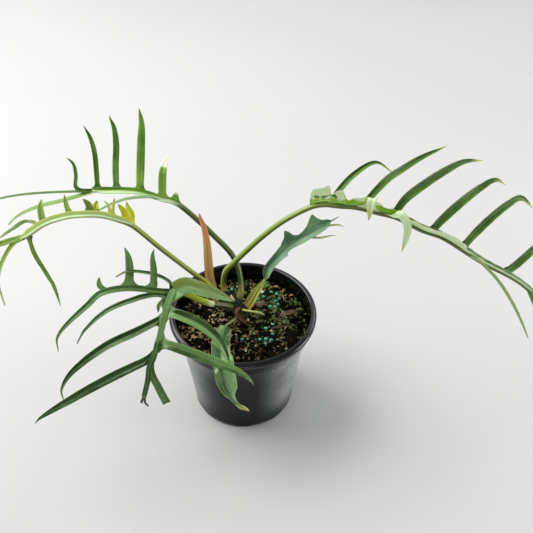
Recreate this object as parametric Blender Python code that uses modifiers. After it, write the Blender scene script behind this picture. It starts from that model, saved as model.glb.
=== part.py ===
"""A potted philodendron tortum: six divided leaves on a short stem, in a round nursery pot.

Sizes are in millimetres and turn to metres where a mesh is made. The origin is the middle of the
pot's base on the table. +Z is up, the two big arching leaves spread along X, and -Y is the front.
"""
import bmesh
import bpy
import math
import numpy as np
from mathutils import Matrix, Vector, noise
from mathutils.geometry import interpolate_bezier

MM = 0.001
GAP = 0.3

# Nursery pot, a thin moulded shell
POT_HEIGHT = 90.0
POT_WALL = 1.3
RIM_RADIUS = 54.0
LIP_WIDTH = 4.5
LIP_HEIGHT = 4.0
BAND_RADIUS = 50.6
LEDGE_HEIGHT = 75.0
BODY_RADIUS = 47.2
BASE_RADIUS = 38.6
POT_STEPS = 40
NOTCH_COUNT = 8
NOTCH_WIDTH = 17.0
NOTCH_HEIGHT = 2.6
NOTCH_INNER = 34.5

# Potting mix with what lies on it
SOIL_EDGE = 77.0
SOIL_CENTRE = 78.0
SOIL_BUMP = 0.9
CLOD = 7.0
CRUMB = 3.0
SOIL_RINGS = 8
SOIL_STEPS = 32
SOIL_TOP_RADIUS = BAND_RADIUS - POT_WALL - 0.5 - GAP - 0.2
SOIL_SIDE = [(SOIL_TOP_RADIUS, LEDGE_HEIGHT + 0.8), (BODY_RADIUS - POT_WALL - GAP - 0.2, LEDGE_HEIGHT - 0.7),
             (BASE_RADIUS - POT_WALL - GAP, POT_WALL + GAP + 1.4)]
PELLET_RADIUS = 1.7
PELLETS = [(17, 42), (21, 32), (25, 29), (27, 24), (24, 21), (26, 18), (20, 15), (24, 15), (15, 26),
           (11, 23), (22, -4), (17, -8), (22, -13), (13, -19), (17, -18), (21, -19), (17, -22),
           (0, -19), (-10, 33)]
PERLITE = [(14, 31, 1.5), (18, 28, 1.3), (-37, 9, 1.2)]
CHIPS = [(34, 9, 13, 5, 20), (13, 17, 8, 5, 60), (25, -6, 10, 4, 10), (24, 38, 6, 3, -10),
         (36, 28, 5, 3, 40), (-19, 38, 7, 3, 30)]
CHIP_THICK = 2.6

# Leaf blades
BLADE_THICK = 0.85
LOBE_ROW_LENGTH = 10.0
LOBE_ROWS_LEAST = 3
LOBE_ROWS_MOST = 8
LOBE_FOLD = 24.0
LOBE_FLARE = 2.2
LOBE_FLARE_REACH = 3.0
TIP_HALF = 0.45
RIB_SAMPLES = 400
RIB_STEP = 8.0
STALK_FOOT = 14.0
WING_STEP = 12.0
WING_FOLD = 30.0
UP = Vector((0.0, -0.3, 0.95))
EDGE_ON = Vector((0.0, 0.67, 0.74))
TO_FRONT = Vector((0.0, -0.75, 0.66))

STEM_ROUTE = [(0, 2, 60), (-1, 4, 76), (-5, 9, 85), (-11, 14, 88), (-20, 18, 89)]
STEM_THICK = [(0, 5.5), (20, 5.4), (30, 5.3), (44, 4.0)]
AERIAL_ROOT = [(-1, 5, 85), (3, 3, 86), (8, 3, 85), (12, 5, 82), (16, 6, 78)]
ROOT_THICK = (1.4, 0.8)
ROOT_RINGS = 9
STEM_RINGS = 12
SOCKET_REACH = 30.0
SOCKET_GAP = 0.35

# A lobe is (mm along the midrib from the stalk, width, points it passes, face it turns up).
# A wing is the narrow blade left along the midrib: (mm along, half width left, half width right).
LEAF_RIGHT = dict(
    stalk=[(-12, 15, 87), (-15, 19, 93), (-15, 20, 101), (-13, 20, 110), (-7, 19, 119), (1, 18, 130),
           (15, 16, 148), (29, 14, 163), (46, 13, 175)],
    midrib=[(55, 13, 177), (64, 13, 176), (76, 13, 175), (91, 14, 170), (105, 15, 165), (123, 16, 154),
            (139, 18, 146), (159, 20, 131), (173, 22, 120), (202, 25, 101), (221, 27, 84), (236, 29, 66)],
    thick=(2.7, 2.3, 2.1, 1.0),
    wing=[(8, 2.5, 3.0), (30, 3.2, 3.5), (60, 3.5, 3.0), (120, 3.8, 2.4), (215, 2.6, 2.0)],
    lobes=[
        (5, 8, [(50, 9, 187), (51, 8, 193), (56, 12, 191)], None),
        (16, 9, [(61, 8, 187), (64, 11, 192)], None),
        (12, 5, [(66, 24, 183), (76, 35, 187), (90, 44, 190), (103, 47, 181)], None),
        (33, 6, [(95, 28, 186), (108, 41, 187), (123, 52, 190), (143, 62, 194)], None),
        (39, 7, [(81, 8, 186), (83, 3, 190), (83, -1, 184), (83, -3, 175)], None),
        (57, 7.5, [(109, 23, 175), (124, 35, 180), (141, 48, 183), (155, 57, 184), (170, 63, 181)], None),
        (58, 6.5, [(105, 8, 174), (109, 3, 172), (111, 1, 165), (109.5, 0, 158), (108, -0.5, 148)], None),
        (89, 8, [(137, 25, 156), (152, 38, 162), (168, 51, 166), (180, 58, 168), (190, 60, 162)], None),
        (119, 8.5, [(162, 28, 140), (177, 41, 147), (192, 53, 151), (203, 60, 151), (216, 62, 140)], None),
        (131, 5, [(169, 14.5, 127), (183, 10, 114), (197, 7, 95), (208, 5, 77), (218, 5, 59)], None),
        (165, 8, [(200, 31, 109), (210, 39, 112), (220, 47, 115), (232, 53, 112), (240, 55, 101)], None),
        (195, 6, [(228, 18, 66), (234, 12, 50)], None),
        (205, 6, [(236, 41, 78), (247, 48, 74), (253, 50, 62)], None),
        (217, 6, [(238, 26, 50), (238, 24, 34)], UP),
    ])
LEAF_BACK_LEFT = dict(
    stalk=[(-4, 12, 87), (-2, 17, 93), (-3, 25, 100), (-6, 31, 109), (-11, 34, 117), (-22, 38, 128),
           (-32, 41, 138), (-46, 45, 150)],
    midrib=[(-52, 46, 153), (-59, 47, 154), (-68, 49, 156), (-77, 50, 158), (-89, 51, 158),
            (-99, 52, 157), (-112, 52, 157)],
    thick=(2.7, 2.2, 2.0, 1.1),
    wing=[(6, 2.2, 2.4), (30, 2.4, 2.8), (58, 2.6, 3.0)],
    lobes=[
        (5, 4, [(-49, 53, 158)], None),
        (14, 5.5, [(-59, 57, 168), (-58, 64, 173), (-56, 69, 177)], None),
        (17, 4.5, [(-70, 44, 158), (-85, 36, 161), (-103, 28, 157)], EDGE_ON),
        (31, 5.8, [(-76, 66, 169), (-76, 79, 182), (-76, 88, 192), (-78, 95, 201)], None),
        (48, 5, [(-94, 66, 169), (-94, 77, 180), (-96, 86, 189), (-100, 92, 196)], None),
        (62, 4.4, [(-108, 64, 167), (-110, 74, 176), (-114, 83, 183), (-119, 88, 190)], None),
        (64, 4, [(-118, 55, 160), (-120, 62, 165), (-123, 69, 170), (-130, 73, 172)], TO_FRONT),
        (62, 5.5, [(-131, 47, 151), (-143, 46, 148), (-154, 46, 144), (-167, 46, 137), (-176, 46, 129)],
         Vector((0.0, 0.1, 1.0))),
        (60, 4, [(-134, 54, 154), (-147, 54, 153), (-163, 54, 151), (-179, 53, 148), (-196, 51, 142)],
         EDGE_ON),
    ])
LEAF_FRONT_LEFT = dict(
    stalk=[(-14, 11, 90), (-18, 10, 97), (-27, 7, 111), (-35, 3, 123), (-48, -2, 142), (-57, -5, 155),
           (-70, -10, 175)],
    midrib=[(-78, -11, 180), (-88, -12, 184), (-97, -13, 185), (-107, -13, 184), (-117, -13, 181),
            (-126, -12, 176), (-136, -11, 168), (-145, -10, 161)],
    thick=(2.4, 1.8, 1.7, 1.2),
    wing=[(6, 2.0, 2.4), (40, 2.2, 2.8), (74, 2.6, 3.0)],
    lobes=[
        (2, 4, [(-71, -6, 180), (-73, -4, 186), (-73, -3, 189)], None),
        (4, 4, [(-75, -6, 181), (-79, -3, 187)], None),
        (15, 3, [(-81, -7, 188), (-80, -4, 193)], None),
        (25, 6, [(-92, -8, 188), (-91, -5, 191)], None),
        (28, 6, [(-96, -8, 189), (-100, -6, 193)], None),
        (40, 4, [(-110, -8, 188), (-112, -3, 194)], None),
        (60, 6.5, [(-127, -7, 185), (-127, -3, 190)], None),
        (64, 5, [(-139, -5, 173), (-150, -3, 165), (-163, -1, 155)], EDGE_ON),
        (76, 5, [(-136, -14, 156), (-134, -15, 149), (-130, -16, 137), (-127, -17, 126), (-126, -18, 108)],
         Vector((0.8, 0.3, 0.5))),
        (80, 6, [(-149, -12, 159), (-156, -15, 150), (-161, -16, 140), (-165, -16, 128), (-166, -16, 106)],
         UP),
        (80, 6, [(-160, -8, 155), (-174, -6, 147), (-186, -5, 135)], UP),
    ])
LEAF_LOW_LEFT = dict(
    stalk=[(-7, 4, 88), (-13, 0, 94), (-20, -4, 99), (-29, -9, 108), (-39, -15, 120), (-45, -18, 126)],
    midrib=[(-48, -26, 125), (-50, -34, 122), (-51, -40, 119), (-54, -53, 110), (-56, -59, 104),
            (-59, -63, 98), (-60, -67, 91), (-64, -72, 76)],
    thick=(2.6, 2.1, 2.0, 1.2),
    wing=[(4, 2.4, 3.0), (40, 2.6, 2.8), (62, 2.2, 2.2)],
    lobes=[
        (0, 4, [(-50, -14, 130), (-58, -12.5, 134), (-68, -14, 138), (-77, -15.5, 139.5),
                (-85, -16.5, 135.5)], EDGE_ON),
        (4, 14, [(-38, -15, 126), (-28, -12, 121), (-17, -8, 112), (-6, -5.5, 103.5)],
         Vector((0.2, -0.2, 0.95))),
        (3, 5, [(-57, -21, 128), (-76, -22, 131), (-93, -26, 130), (-102, -30, 123), (-118, -38, 110),
                (-124, -42, 102), (-125, -44, 90)], TO_FRONT),
        (8, 5.5, [(-57, -27, 129), (-67, -31, 130), (-87, -39, 126), (-102, -46, 115), (-109, -50, 105)],
         Vector((0.0, -0.1, 1.0))),
        (12, 5, [(-53, -29, 124.5), (-56, -33, 119)], None),
        (18, 8.5, [(-41, -38, 122), (-30, -42, 120), (-21, -46, 116), (-13, -51, 110), (-6, -60, 97)], None),
        (23, 7, [(-68, -45, 113), (-89, -53, 106), (-112, -61, 89), (-120, -66, 77), (-120, -68, 68)], None),
        (39, 7.5, [(-41, -56, 110), (-20, -62, 106), (-1, -69, 103), (7, -71, 97), (10, -72, 92)], None),
        (49, 7, [(-78, -66, 96), (-94, -70, 88), (-110, -74, 79), (-133, -80, 65), (-139, -81, 58)], None),
        (60, 6, [(-55, -67, 86), (-49, -71, 71)], UP),
    ])
LOW_BRANCH = [(-57, -21, 128), (-76, -22, 131), (-93, -26, 130)]
LOW_BRANCH_LOBES = [
    (2, 5, [(-59, -13, 138), (-60, -6, 146), (-59, -3, 150)], TO_FRONT),
    (19, 5, [(-75, -14, 138), (-76, -8, 146), (-79, -3, 151)], TO_FRONT),
    (36, 4, [(-95, -21, 134), (-95, -18, 137)], TO_FRONT),
]
LEAF_SMALL_RIGHT = dict(
    stalk=[(1, 8, 84), (4, 9, 87), (10, 13, 97), (16, 16, 106)],
    midrib=[(18, 18, 115), (24, 20, 124), (32, 22, 133), (42, 24, 140), (53, 26, 147), (67, 30, 154)],
    thick=(2.3, 1.5, 1.1, 0.6),
    wing=None,
    lobes=[
        (30, 6, [(31, 30, 138), (31, 33, 142)], TO_FRONT),
        (47, 7, [(48, 34, 148), (49, 38, 152)], TO_FRONT),
        (40, 3, [(50, 21, 141), (65, 20, 146)], TO_FRONT),
        (27, 4, [(34, 17, 129)], TO_FRONT),
    ])
SMALL_RIGHT_LEFT_SIDE = [(0, 1.5), (8, 4.5), (16, 5), (30, 6.5), (40, 5), (50, 6.5), (62, 3), (70, 0.6)]
SMALL_RIGHT_RIGHT_SIDE = [(0, 1.5), (8, 4), (20, 5), (32, 4), (44, 4.5), (56, 3.5), (70, 0.6)]
LEAF_SMALL_FRONT = dict(
    stalk=[(-2, 1, 84), (-6, -5, 86), (-10, -11, 87), (-14, -17, 87)],
    midrib=[(-15, -28, 88), (-14, -40, 91), (-13, -50, 94), (-12, -57, 93), (-10, -62, 84),
            (-7, -64, 74), (-2, -65, 66), (6, -63, 53)],
    thick=(1.6, 1.3, 1.0, 0.6),
    wing=None,
    lobes=[])
SMALL_FRONT_SIDE = [(0, 2), (10, 5), (24, 6.5), (40, 6.5), (52, 7.5), (62, 6), (72, 3), (84, 0.6)]

SHEATH_ROUTE = [(-21.5, 18.8, 88), (-24, 20.5, 93), (-27, 22, 103), (-26, 24, 119), (-26, 25, 134),
                (-28, 26, 147), (-31, 27, 157)]
SHEATH_SIDE = [(0, 1.5), (10, 3.2), (35, 2.8), (50, 2.2), (62, 1.5), (72, 0.6)]
SHEATH_FOLD = 55.0
SCRAP_ROUTE = [(4.5, 1.5, 88), (4, -2.5, 84), (4.5, -4.5, 79.5)]
SCRAP_SIDE = [(0, 1.0), (4, 2.2), (11, 0.8)]


def clear_scene():
    for obj in list(bpy.data.objects):
        bpy.data.objects.remove(obj, do_unlink=True)


def new_collection(name):
    collection = bpy.data.collections.new(name)
    bpy.context.scene.collection.children.link(collection)
    return collection


def material(name, colour, roughness, metallic=0.0):
    made = bpy.data.materials.new(name)
    made.use_nodes = True
    shader = made.node_tree.nodes["Principled BSDF"]
    shader.inputs["Base Color"].default_value = (*colour, 1.0)
    shader.inputs["Roughness"].default_value = roughness
    shader.inputs["Metallic"].default_value = metallic
    return made


def add_object(name, data, collection):
    obj = bpy.data.objects.new(name, data)
    collection.objects.link(obj)
    return obj


def object_from_bmesh(name, bm, collection):
    mesh = bpy.data.meshes.new(name)
    bm.to_mesh(mesh)
    bm.free()
    return add_object(name, mesh, collection)


def finish(obj, look, smooth_angle=40.0):
    """Give a piece its material and smooth shading with sharp edges kept."""
    obj.data.materials.clear()
    obj.data.materials.append(look)
    obj.data.shade_smooth()
    obj.data.set_sharp_from_angle(angle=math.radians(smooth_angle))
    return obj


def keep_largest(mesh):
    """Fill the pockets that crossing blades shut in, by dropping their walls."""
    bm = bmesh.new()
    bm.from_mesh(mesh)
    pieces = []
    left = set(bm.verts)
    while left:
        piece = {left.pop()}
        edge_of_piece = list(piece)
        while edge_of_piece:
            vert = edge_of_piece.pop()
            near = {edge.other_vert(vert) for edge in vert.link_edges} - piece
            piece |= near
            edge_of_piece += near
        left -= piece
        pieces.append(piece)
    largest = max(pieces, key=len)
    dropped = [vert for vert in bm.verts if vert not in largest]
    bmesh.ops.delete(bm, geom=dropped, context="VERTS")
    bm.to_mesh(mesh)
    bm.free()


def boolean_group(target, others, operation):
    """Join a collection to a piece, or cut it away, then drop the collection's objects."""
    modifier = target.modifiers.new(operation.title(), "BOOLEAN")
    modifier.operand_type = "COLLECTION"
    modifier.collection = others
    modifier.operation = operation
    modifier.solver = "EXACT"
    bpy.context.view_layer.update()
    evaluated = target.evaluated_get(bpy.context.evaluated_depsgraph_get())
    mesh = bpy.data.meshes.new_from_object(evaluated)
    target.modifiers.clear()
    target.data = mesh
    keep_largest(mesh)
    for obj in list(others.objects):
        bpy.data.objects.remove(obj, do_unlink=True)
    bpy.data.collections.remove(others)


def smooth_path(points, count):
    """Evenly spaced points on one smooth curve through the given points."""
    knots = [Vector(point) for point in points]
    fine = []
    for index in range(len(knots) - 1):
        here, there = knots[index], knots[index + 1]
        before = knots[index - 1] if index else here
        after = knots[index + 2] if index + 2 < len(knots) else there
        reach = (there - here).length / 3.0
        start = here + (there - before).normalized() * reach
        end = there - (after - here).normalized() * reach
        fine += interpolate_bezier(here, start, end, there, 16)[:-1]
    fine.append(knots[-1])
    fine = np.array(fine)
    steps = np.linalg.norm(np.diff(fine, axis=0), axis=1)
    travelled = np.concatenate([[0.0], np.cumsum(steps)])
    places = np.linspace(0.0, travelled[-1], count)
    columns = [np.interp(places, travelled, fine[:, axis]) for axis in range(3)]
    return [Vector(place) for place in zip(*columns)], travelled[-1]


def tangents(points):
    """Unit direction of travel at each point of a path."""
    last = len(points) - 1
    return [(points[min(i + 1, last)] - points[max(i - 1, 0)]).normalized() for i in range(last + 1)]


def tube(name, points, radii, collection):
    """A round stalk as one closed mesh, with a radius at each point."""
    curve = bpy.data.curves.new(name, "CURVE")
    curve.dimensions = "3D"
    curve.bevel_depth = MM
    curve.bevel_resolution = 2
    curve.use_fill_caps = True
    spline = curve.splines.new("POLY")
    spline.points.add(len(points) - 1)
    for place, point, radius in zip(spline.points, points, radii):
        place.co = (*(point * MM), 1.0)
        place.radius = radius
    guide = add_object(name + "_curve", curve, collection)
    bpy.context.view_layer.update()
    evaluated = guide.evaluated_get(bpy.context.evaluated_depsgraph_get())
    mesh = bpy.data.meshes.new_from_object(evaluated)
    bpy.data.objects.remove(guide, do_unlink=True)
    bm = bmesh.new()
    bm.from_mesh(mesh)
    bmesh.ops.remove_doubles(bm, verts=bm.verts, dist=1e-6)
    bm.to_mesh(mesh)
    bm.free()
    return add_object(name, mesh, collection)


class Rib:
    """A leaf's stalk and midrib, or a branch of it: one route that lobes grow from."""

    def __init__(self, stalk, midrib):
        self.points, self.length = smooth_path(list(stalk) + list(midrib), RIB_SAMPLES)
        self.directions = tangents(self.points)
        joint = Vector(stalk[-1])
        nearest = min(range(RIB_SAMPLES), key=lambda i: (self.points[i] - joint).length)
        self.joint = nearest / (RIB_SAMPLES - 1) * self.length

    def at(self, along):
        """Point and direction, in mm along from the joint of stalk and blade."""
        index = round((self.joint + along) / self.length * (RIB_SAMPLES - 1))
        index = max(0, min(RIB_SAMPLES - 1, index))
        return self.points[index], self.directions[index]

    def tube(self, name, thick, reach, count, margin, collection):
        """The first stretch of the stalk, or all of it, as a tube; margin fattens a cutter."""
        where = np.linspace(0.0, reach, count)
        points = [self.at(place - self.joint)[0] for place in where]
        points[0] = points[0] - self.directions[0] * margin
        foot = min(STALK_FOOT, self.joint * 0.5)
        radii = np.interp(where, [0.0, foot, self.joint, self.length], thick) + margin
        return tube(name, points, radii, collection)


def across_path(directions, first):
    """Carry a sideways direction along a path without letting it spin."""
    sideways = []
    held = first
    for direction in directions:
        held = (held - direction * held.dot(direction)).normalized()
        sideways.append(held)
    return sideways


def strip(name, spine, sideways, left, right, fold, up, collection):
    """A folded blade strip: half widths on its two sides, and the fold that lifts its edges."""
    rows = len(spine) - 1
    directions = tangents(spine)
    bm = bmesh.new()
    bmesh.ops.create_grid(bm, x_segments=2, y_segments=rows, size=1.0)
    rise = math.sin(math.radians(fold))
    run = math.cos(math.radians(fold))
    for vert in bm.verts:
        row = round((vert.co.y + 1.0) / 2.0 * rows)
        half = left[row] if vert.co.x < 0.0 else right[row]
        normal = directions[row].cross(sideways[row])
        if normal.dot(up) < 0.0:
            normal.negate()
        reach = vert.co.x * half
        vert.co = (spine[row] + sideways[row] * reach * run + normal * abs(reach) * rise) * MM
    bmesh.ops.triangulate(bm, faces=bm.faces)
    obj = object_from_bmesh(name, bm, collection)
    shell = obj.modifiers.new("Thickness", "SOLIDIFY")
    shell.thickness = BLADE_THICK * MM
    shell.offset = 0.0
    return obj


def lobe(name, rib, along, width, points, face, collection):
    """One lobe: it starts inside the rib, flares where it joins and tapers to its tip."""
    base, rib_direction = rib.at(along)
    _, length = smooth_path([base] + list(points), 2)
    rows = max(LOBE_ROWS_LEAST, min(LOBE_ROWS_MOST, round(length / LOBE_ROW_LENGTH)))
    spine, _ = smooth_path([base] + list(points), rows + 1)
    directions = tangents(spine)
    first = rib_direction if face is None else directions[0].cross(face)
    half = []
    for row in range(rows + 1):
        part = row / rows
        body = width / 2.0 * (1.0 - part ** 3) * (0.8 + 0.2 * min(part / 0.25, 1.0))
        flare = LOBE_FLARE * math.exp(-part * length / LOBE_FLARE_REACH)
        half.append(max(body + flare, TIP_HALF))
    up = face if face is not None else UP
    sideways = across_path(directions, first)
    return strip(name, spine, sideways, half, half, LOBE_FOLD, up, collection)


def wing(name, rib, sides, collection):
    """The narrow strip of blade along both sides of the midrib."""
    places, left, right = zip(*sides)
    rows = round((places[-1] - places[0]) / WING_STEP)
    where = np.linspace(places[0], places[-1], rows + 1)
    spine = [rib.at(along)[0] for along in where]
    directions = tangents(spine)
    sideways = across_path(directions, directions[0].cross(UP))
    left_half = np.interp(where, places, left)
    right_half = np.interp(where, places, right)
    strip(name, spine, sideways, left_half, right_half, WING_FOLD, UP, collection)


def leaf(name, sizes, collection):
    """A whole frond, stalk and all, joined into one solid."""
    rib = Rib(sizes["stalk"], sizes["midrib"])
    obj = rib.tube(name, sizes["thick"], rib.length, round(rib.length / RIB_STEP), 0.0, collection)
    blades = new_collection(name + "_blades")
    for number, (along, width, points, face) in enumerate(sizes["lobes"]):
        lobe(f"{name}_lobe_{number}", rib, along, width, points, face, blades)
    if sizes["wing"]:
        wing(name + "_wing", rib, sizes["wing"], blades)
    return obj, rib, blades


def blade_sides(name, rib, left, right, fold, face, rows, collection):
    """An undivided blade along the midrib, from half widths given along it."""
    length = rib.length - rib.joint
    spine = [rib.at(length * row / rows)[0] for row in range(rows + 1)]
    where = [length * row / rows for row in range(rows + 1)]
    left_half = np.interp(where, *zip(*left))
    right_half = np.interp(where, *zip(*right))
    directions = tangents(spine)
    sideways = across_path(directions, directions[0].cross(face))
    return strip(name, spine, sideways, left_half, right_half, fold, face, collection)


def make_pot(collection, look):
    """Thin shell turned from its profile, with drain notches round the corner of the base."""
    lip_inner = RIM_RADIUS - LIP_WIDTH
    lip_under = POT_HEIGHT - LIP_HEIGHT
    profile = [
        (0.0, POT_WALL), (BASE_RADIUS - POT_WALL - 0.6, POT_WALL), (BASE_RADIUS - POT_WALL, POT_WALL + 1.0),
        (BODY_RADIUS - POT_WALL, LEDGE_HEIGHT - 1.2), (BAND_RADIUS - POT_WALL - 0.5, LEDGE_HEIGHT + 0.2),
        (lip_inner, POT_HEIGHT - 1.2), (lip_inner + 0.6, POT_HEIGHT - 0.2), (lip_inner + 1.4, POT_HEIGHT),
        (RIM_RADIUS - 1.4, POT_HEIGHT), (RIM_RADIUS - 0.4, POT_HEIGHT - 0.5), (RIM_RADIUS, POT_HEIGHT - 1.4),
        (RIM_RADIUS, lip_under + 0.6), (RIM_RADIUS - 0.6, lip_under), (BAND_RADIUS, lip_under),
        (BAND_RADIUS - 0.4, LEDGE_HEIGHT + 0.4), (BODY_RADIUS, LEDGE_HEIGHT - 1.6),
        (BASE_RADIUS, 1.6), (BASE_RADIUS - 0.5, 0.4), (BASE_RADIUS - 1.6, 0.0), (0.0, 0.0)]
    mesh = bpy.data.meshes.new("pot")
    bm = bmesh.new()
    verts = [bm.verts.new((radius * MM, 0.0, height * MM)) for radius, height in profile]
    for here, there in zip(verts, verts[1:]):
        bm.edges.new((here, there))
    bm.to_mesh(mesh)
    bm.free()
    pot = add_object("pot", mesh, collection)
    turn = pot.modifiers.new("Turn", "SCREW")
    turn.steps = POT_STEPS
    turn.render_steps = POT_STEPS
    turn.use_merge_vertices = True
    turn.merge_threshold = 0.00001
    turn.use_normal_calculate = False
    notches = new_collection("pot_notches")
    for number in range(NOTCH_COUNT):
        angle = math.tau * (number + 0.5) / NOTCH_COUNT
        depth = BASE_RADIUS + 4.0 - NOTCH_INNER
        place = Matrix.Rotation(angle, 4, "Z") @ Matrix.Translation(((NOTCH_INNER + depth / 2.0) * MM, 0, 0))
        size = Matrix.Diagonal((depth * MM, NOTCH_WIDTH * MM, NOTCH_HEIGHT * 2.0 * MM, 1.0))
        bm = bmesh.new()
        bmesh.ops.create_cube(bm, size=1.0, matrix=place @ size)
        object_from_bmesh(f"pot_notch_{number}", bm, notches)
    boolean_group(pot, notches, "DIFFERENCE")
    return finish(pot, look)


def soil_height(x, y):
    """The mix is a little mounded and lumpy; x and y in millimetres."""
    mound = (SOIL_CENTRE - SOIL_EDGE) * (1.0 - (x * x + y * y) / SOIL_TOP_RADIUS ** 2)
    rough = noise.noise(Vector((x, y, 0.0)) / CLOD) + 0.5 * noise.noise(Vector((x, y, 9.0)) / CRUMB)
    return SOIL_EDGE + mound + SOIL_BUMP * rough


def make_soil(collection, look):
    """The filled mix, with pellets, perlite and bark chips sunk in its top, and the stem's hole."""
    bm = bmesh.new()
    top = bmesh.ops.create_circle(bm, cap_ends=False, segments=SOIL_STEPS, radius=SOIL_TOP_RADIUS)["verts"]
    rim = bm.edges[:]
    for vert in top:
        vert.co.z = SOIL_EDGE
    ring = rim
    for radius, height in SOIL_SIDE:
        extruded = bmesh.ops.extrude_edge_only(bm, edges=ring)["geom"]
        ring = [item for item in extruded if isinstance(item, bmesh.types.BMEdge)]
        for vert in [item for item in extruded if isinstance(item, bmesh.types.BMVert)]:
            outward = Vector((vert.co.x, vert.co.y, 0.0)).normalized()
            vert.co = outward * radius + Vector((0.0, 0.0, height))
    bmesh.ops.contextual_create(bm, geom=ring)
    for index in range(1, SOIL_RINGS):
        extruded = bmesh.ops.extrude_edge_only(bm, edges=rim)["geom"]
        inner = [item for item in extruded if isinstance(item, bmesh.types.BMVert)]
        rim = [item for item in extruded if isinstance(item, bmesh.types.BMEdge)]
        scale = (SOIL_RINGS - index) / (SOIL_RINGS - index + 1.0)
        for vert in inner:
            vert.co.x *= scale
            vert.co.y *= scale
    centre = bmesh.ops.contextual_create(bm, geom=rim)["faces"]
    bmesh.ops.poke(bm, faces=centre)
    for vert in bm.verts:
        if vert.co.z > SOIL_EDGE - 0.5:
            vert.co.z = soil_height(vert.co.x, vert.co.y)
    bmesh.ops.scale(bm, vec=(MM, MM, MM), verts=bm.verts)
    bmesh.ops.recalc_face_normals(bm, faces=bm.faces)
    soil = object_from_bmesh("soil", bm, collection)
    bits = new_collection("soil_bits")
    for number, (x, y) in enumerate(PELLETS):
        place = Matrix.Translation(Vector((x, y, soil_height(x, y) + PELLET_RADIUS * 0.45)) * MM)
        ball = bmesh.new()
        bmesh.ops.create_icosphere(ball, subdivisions=1, radius=PELLET_RADIUS * MM, matrix=place)
        object_from_bmesh(f"pellet_{number}", ball, bits)
    for number, (x, y, radius) in enumerate(PERLITE):
        place = Matrix.Translation(Vector((x, y, soil_height(x, y) + radius * 0.3)) * MM)
        ball = bmesh.new()
        bmesh.ops.create_icosphere(ball, subdivisions=1, radius=radius * MM, matrix=place)
        object_from_bmesh(f"perlite_{number}", ball, bits)
    for number, (x, y, length, width, turn) in enumerate(CHIPS):
        place = Matrix.Translation(Vector((x, y, soil_height(x, y) + 0.4)) * MM)
        size = Matrix.Diagonal((length * MM, width * MM, CHIP_THICK * MM, 1.0))
        chip = bmesh.new()
        spin = Matrix.Rotation(math.radians(turn), 4, "Z")
        bmesh.ops.create_cube(chip, size=1.0, matrix=place @ spin @ size)
        bmesh.ops.bevel(chip, geom=chip.edges[:], offset=CHIP_THICK * 0.35 * MM, segments=1,
                        affect="EDGES", profile=0.5, material=-1)
        object_from_bmesh(f"chip_{number}", chip, bits)
    boolean_group(soil, bits, "UNION")
    hole = new_collection("stem_hole")
    tube("stem_hole", *stem_path(GAP), hole)
    tube("root_hole", *root_path(GAP), hole)
    boolean_group(soil, hole, "DIFFERENCE")
    return finish(soil, look, 60.0)


def stem_path(margin):
    """The stem's centre line and radii; margin makes it lower and thicker for a cutter."""
    points, length = smooth_path(STEM_ROUTE, STEM_RINGS)
    where = np.linspace(0.0, length, STEM_RINGS)
    points[0] = points[0] - Vector((0.0, 0.0, margin))
    return points, list(np.interp(where, *zip(*STEM_THICK)) + margin)


def root_path(margin):
    """The stub root's centre line and radii; margin makes it longer and thicker for a cutter."""
    points, _ = smooth_path(AERIAL_ROOT, ROOT_RINGS)
    points[-1] = points[-1] + (points[-1] - points[-2]).normalized() * margin
    return points, list(np.linspace(*ROOT_THICK, ROOT_RINGS) + margin)


def make_stem(collection, look, ribs):
    """A short leaning stem with one stub root, and a socket for the foot of each leaf stalk."""
    points, radii = stem_path(0.0)
    stem = tube("stem", points, radii, collection)
    roots = new_collection("stem_roots")
    tube("aerial_root", *root_path(0.0), roots)
    boolean_group(stem, roots, "UNION")
    sockets = new_collection("stem_sockets")
    for number, (rib, thick) in enumerate(ribs):
        count = round(rib.length / RIB_STEP)
        step = rib.length / (count - 1)
        rings = math.ceil(SOCKET_REACH / step)
        rib.tube(f"socket_{number}", thick, rings * step, rings + 1, SOCKET_GAP, sockets)
    boolean_group(stem, sockets, "DIFFERENCE")
    return finish(stem, look)


def folded_scrap(name, route, side, fold, face, rows, collection, look):
    """A dry sheath: one folded strip with no rib."""
    spine, length = smooth_path(route, rows + 1)
    half = np.interp(np.linspace(0.0, length, rows + 1), *zip(*side))
    directions = tangents(spine)
    sideways = across_path(directions, directions[0].cross(face))
    obj = strip(name, spine, sideways, half, half, fold, face, collection)
    evaluated = obj.evaluated_get(bpy.context.evaluated_depsgraph_get())
    mesh = bpy.data.meshes.new_from_object(evaluated)
    obj.modifiers.clear()
    obj.data = mesh
    return finish(obj, look)


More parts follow.
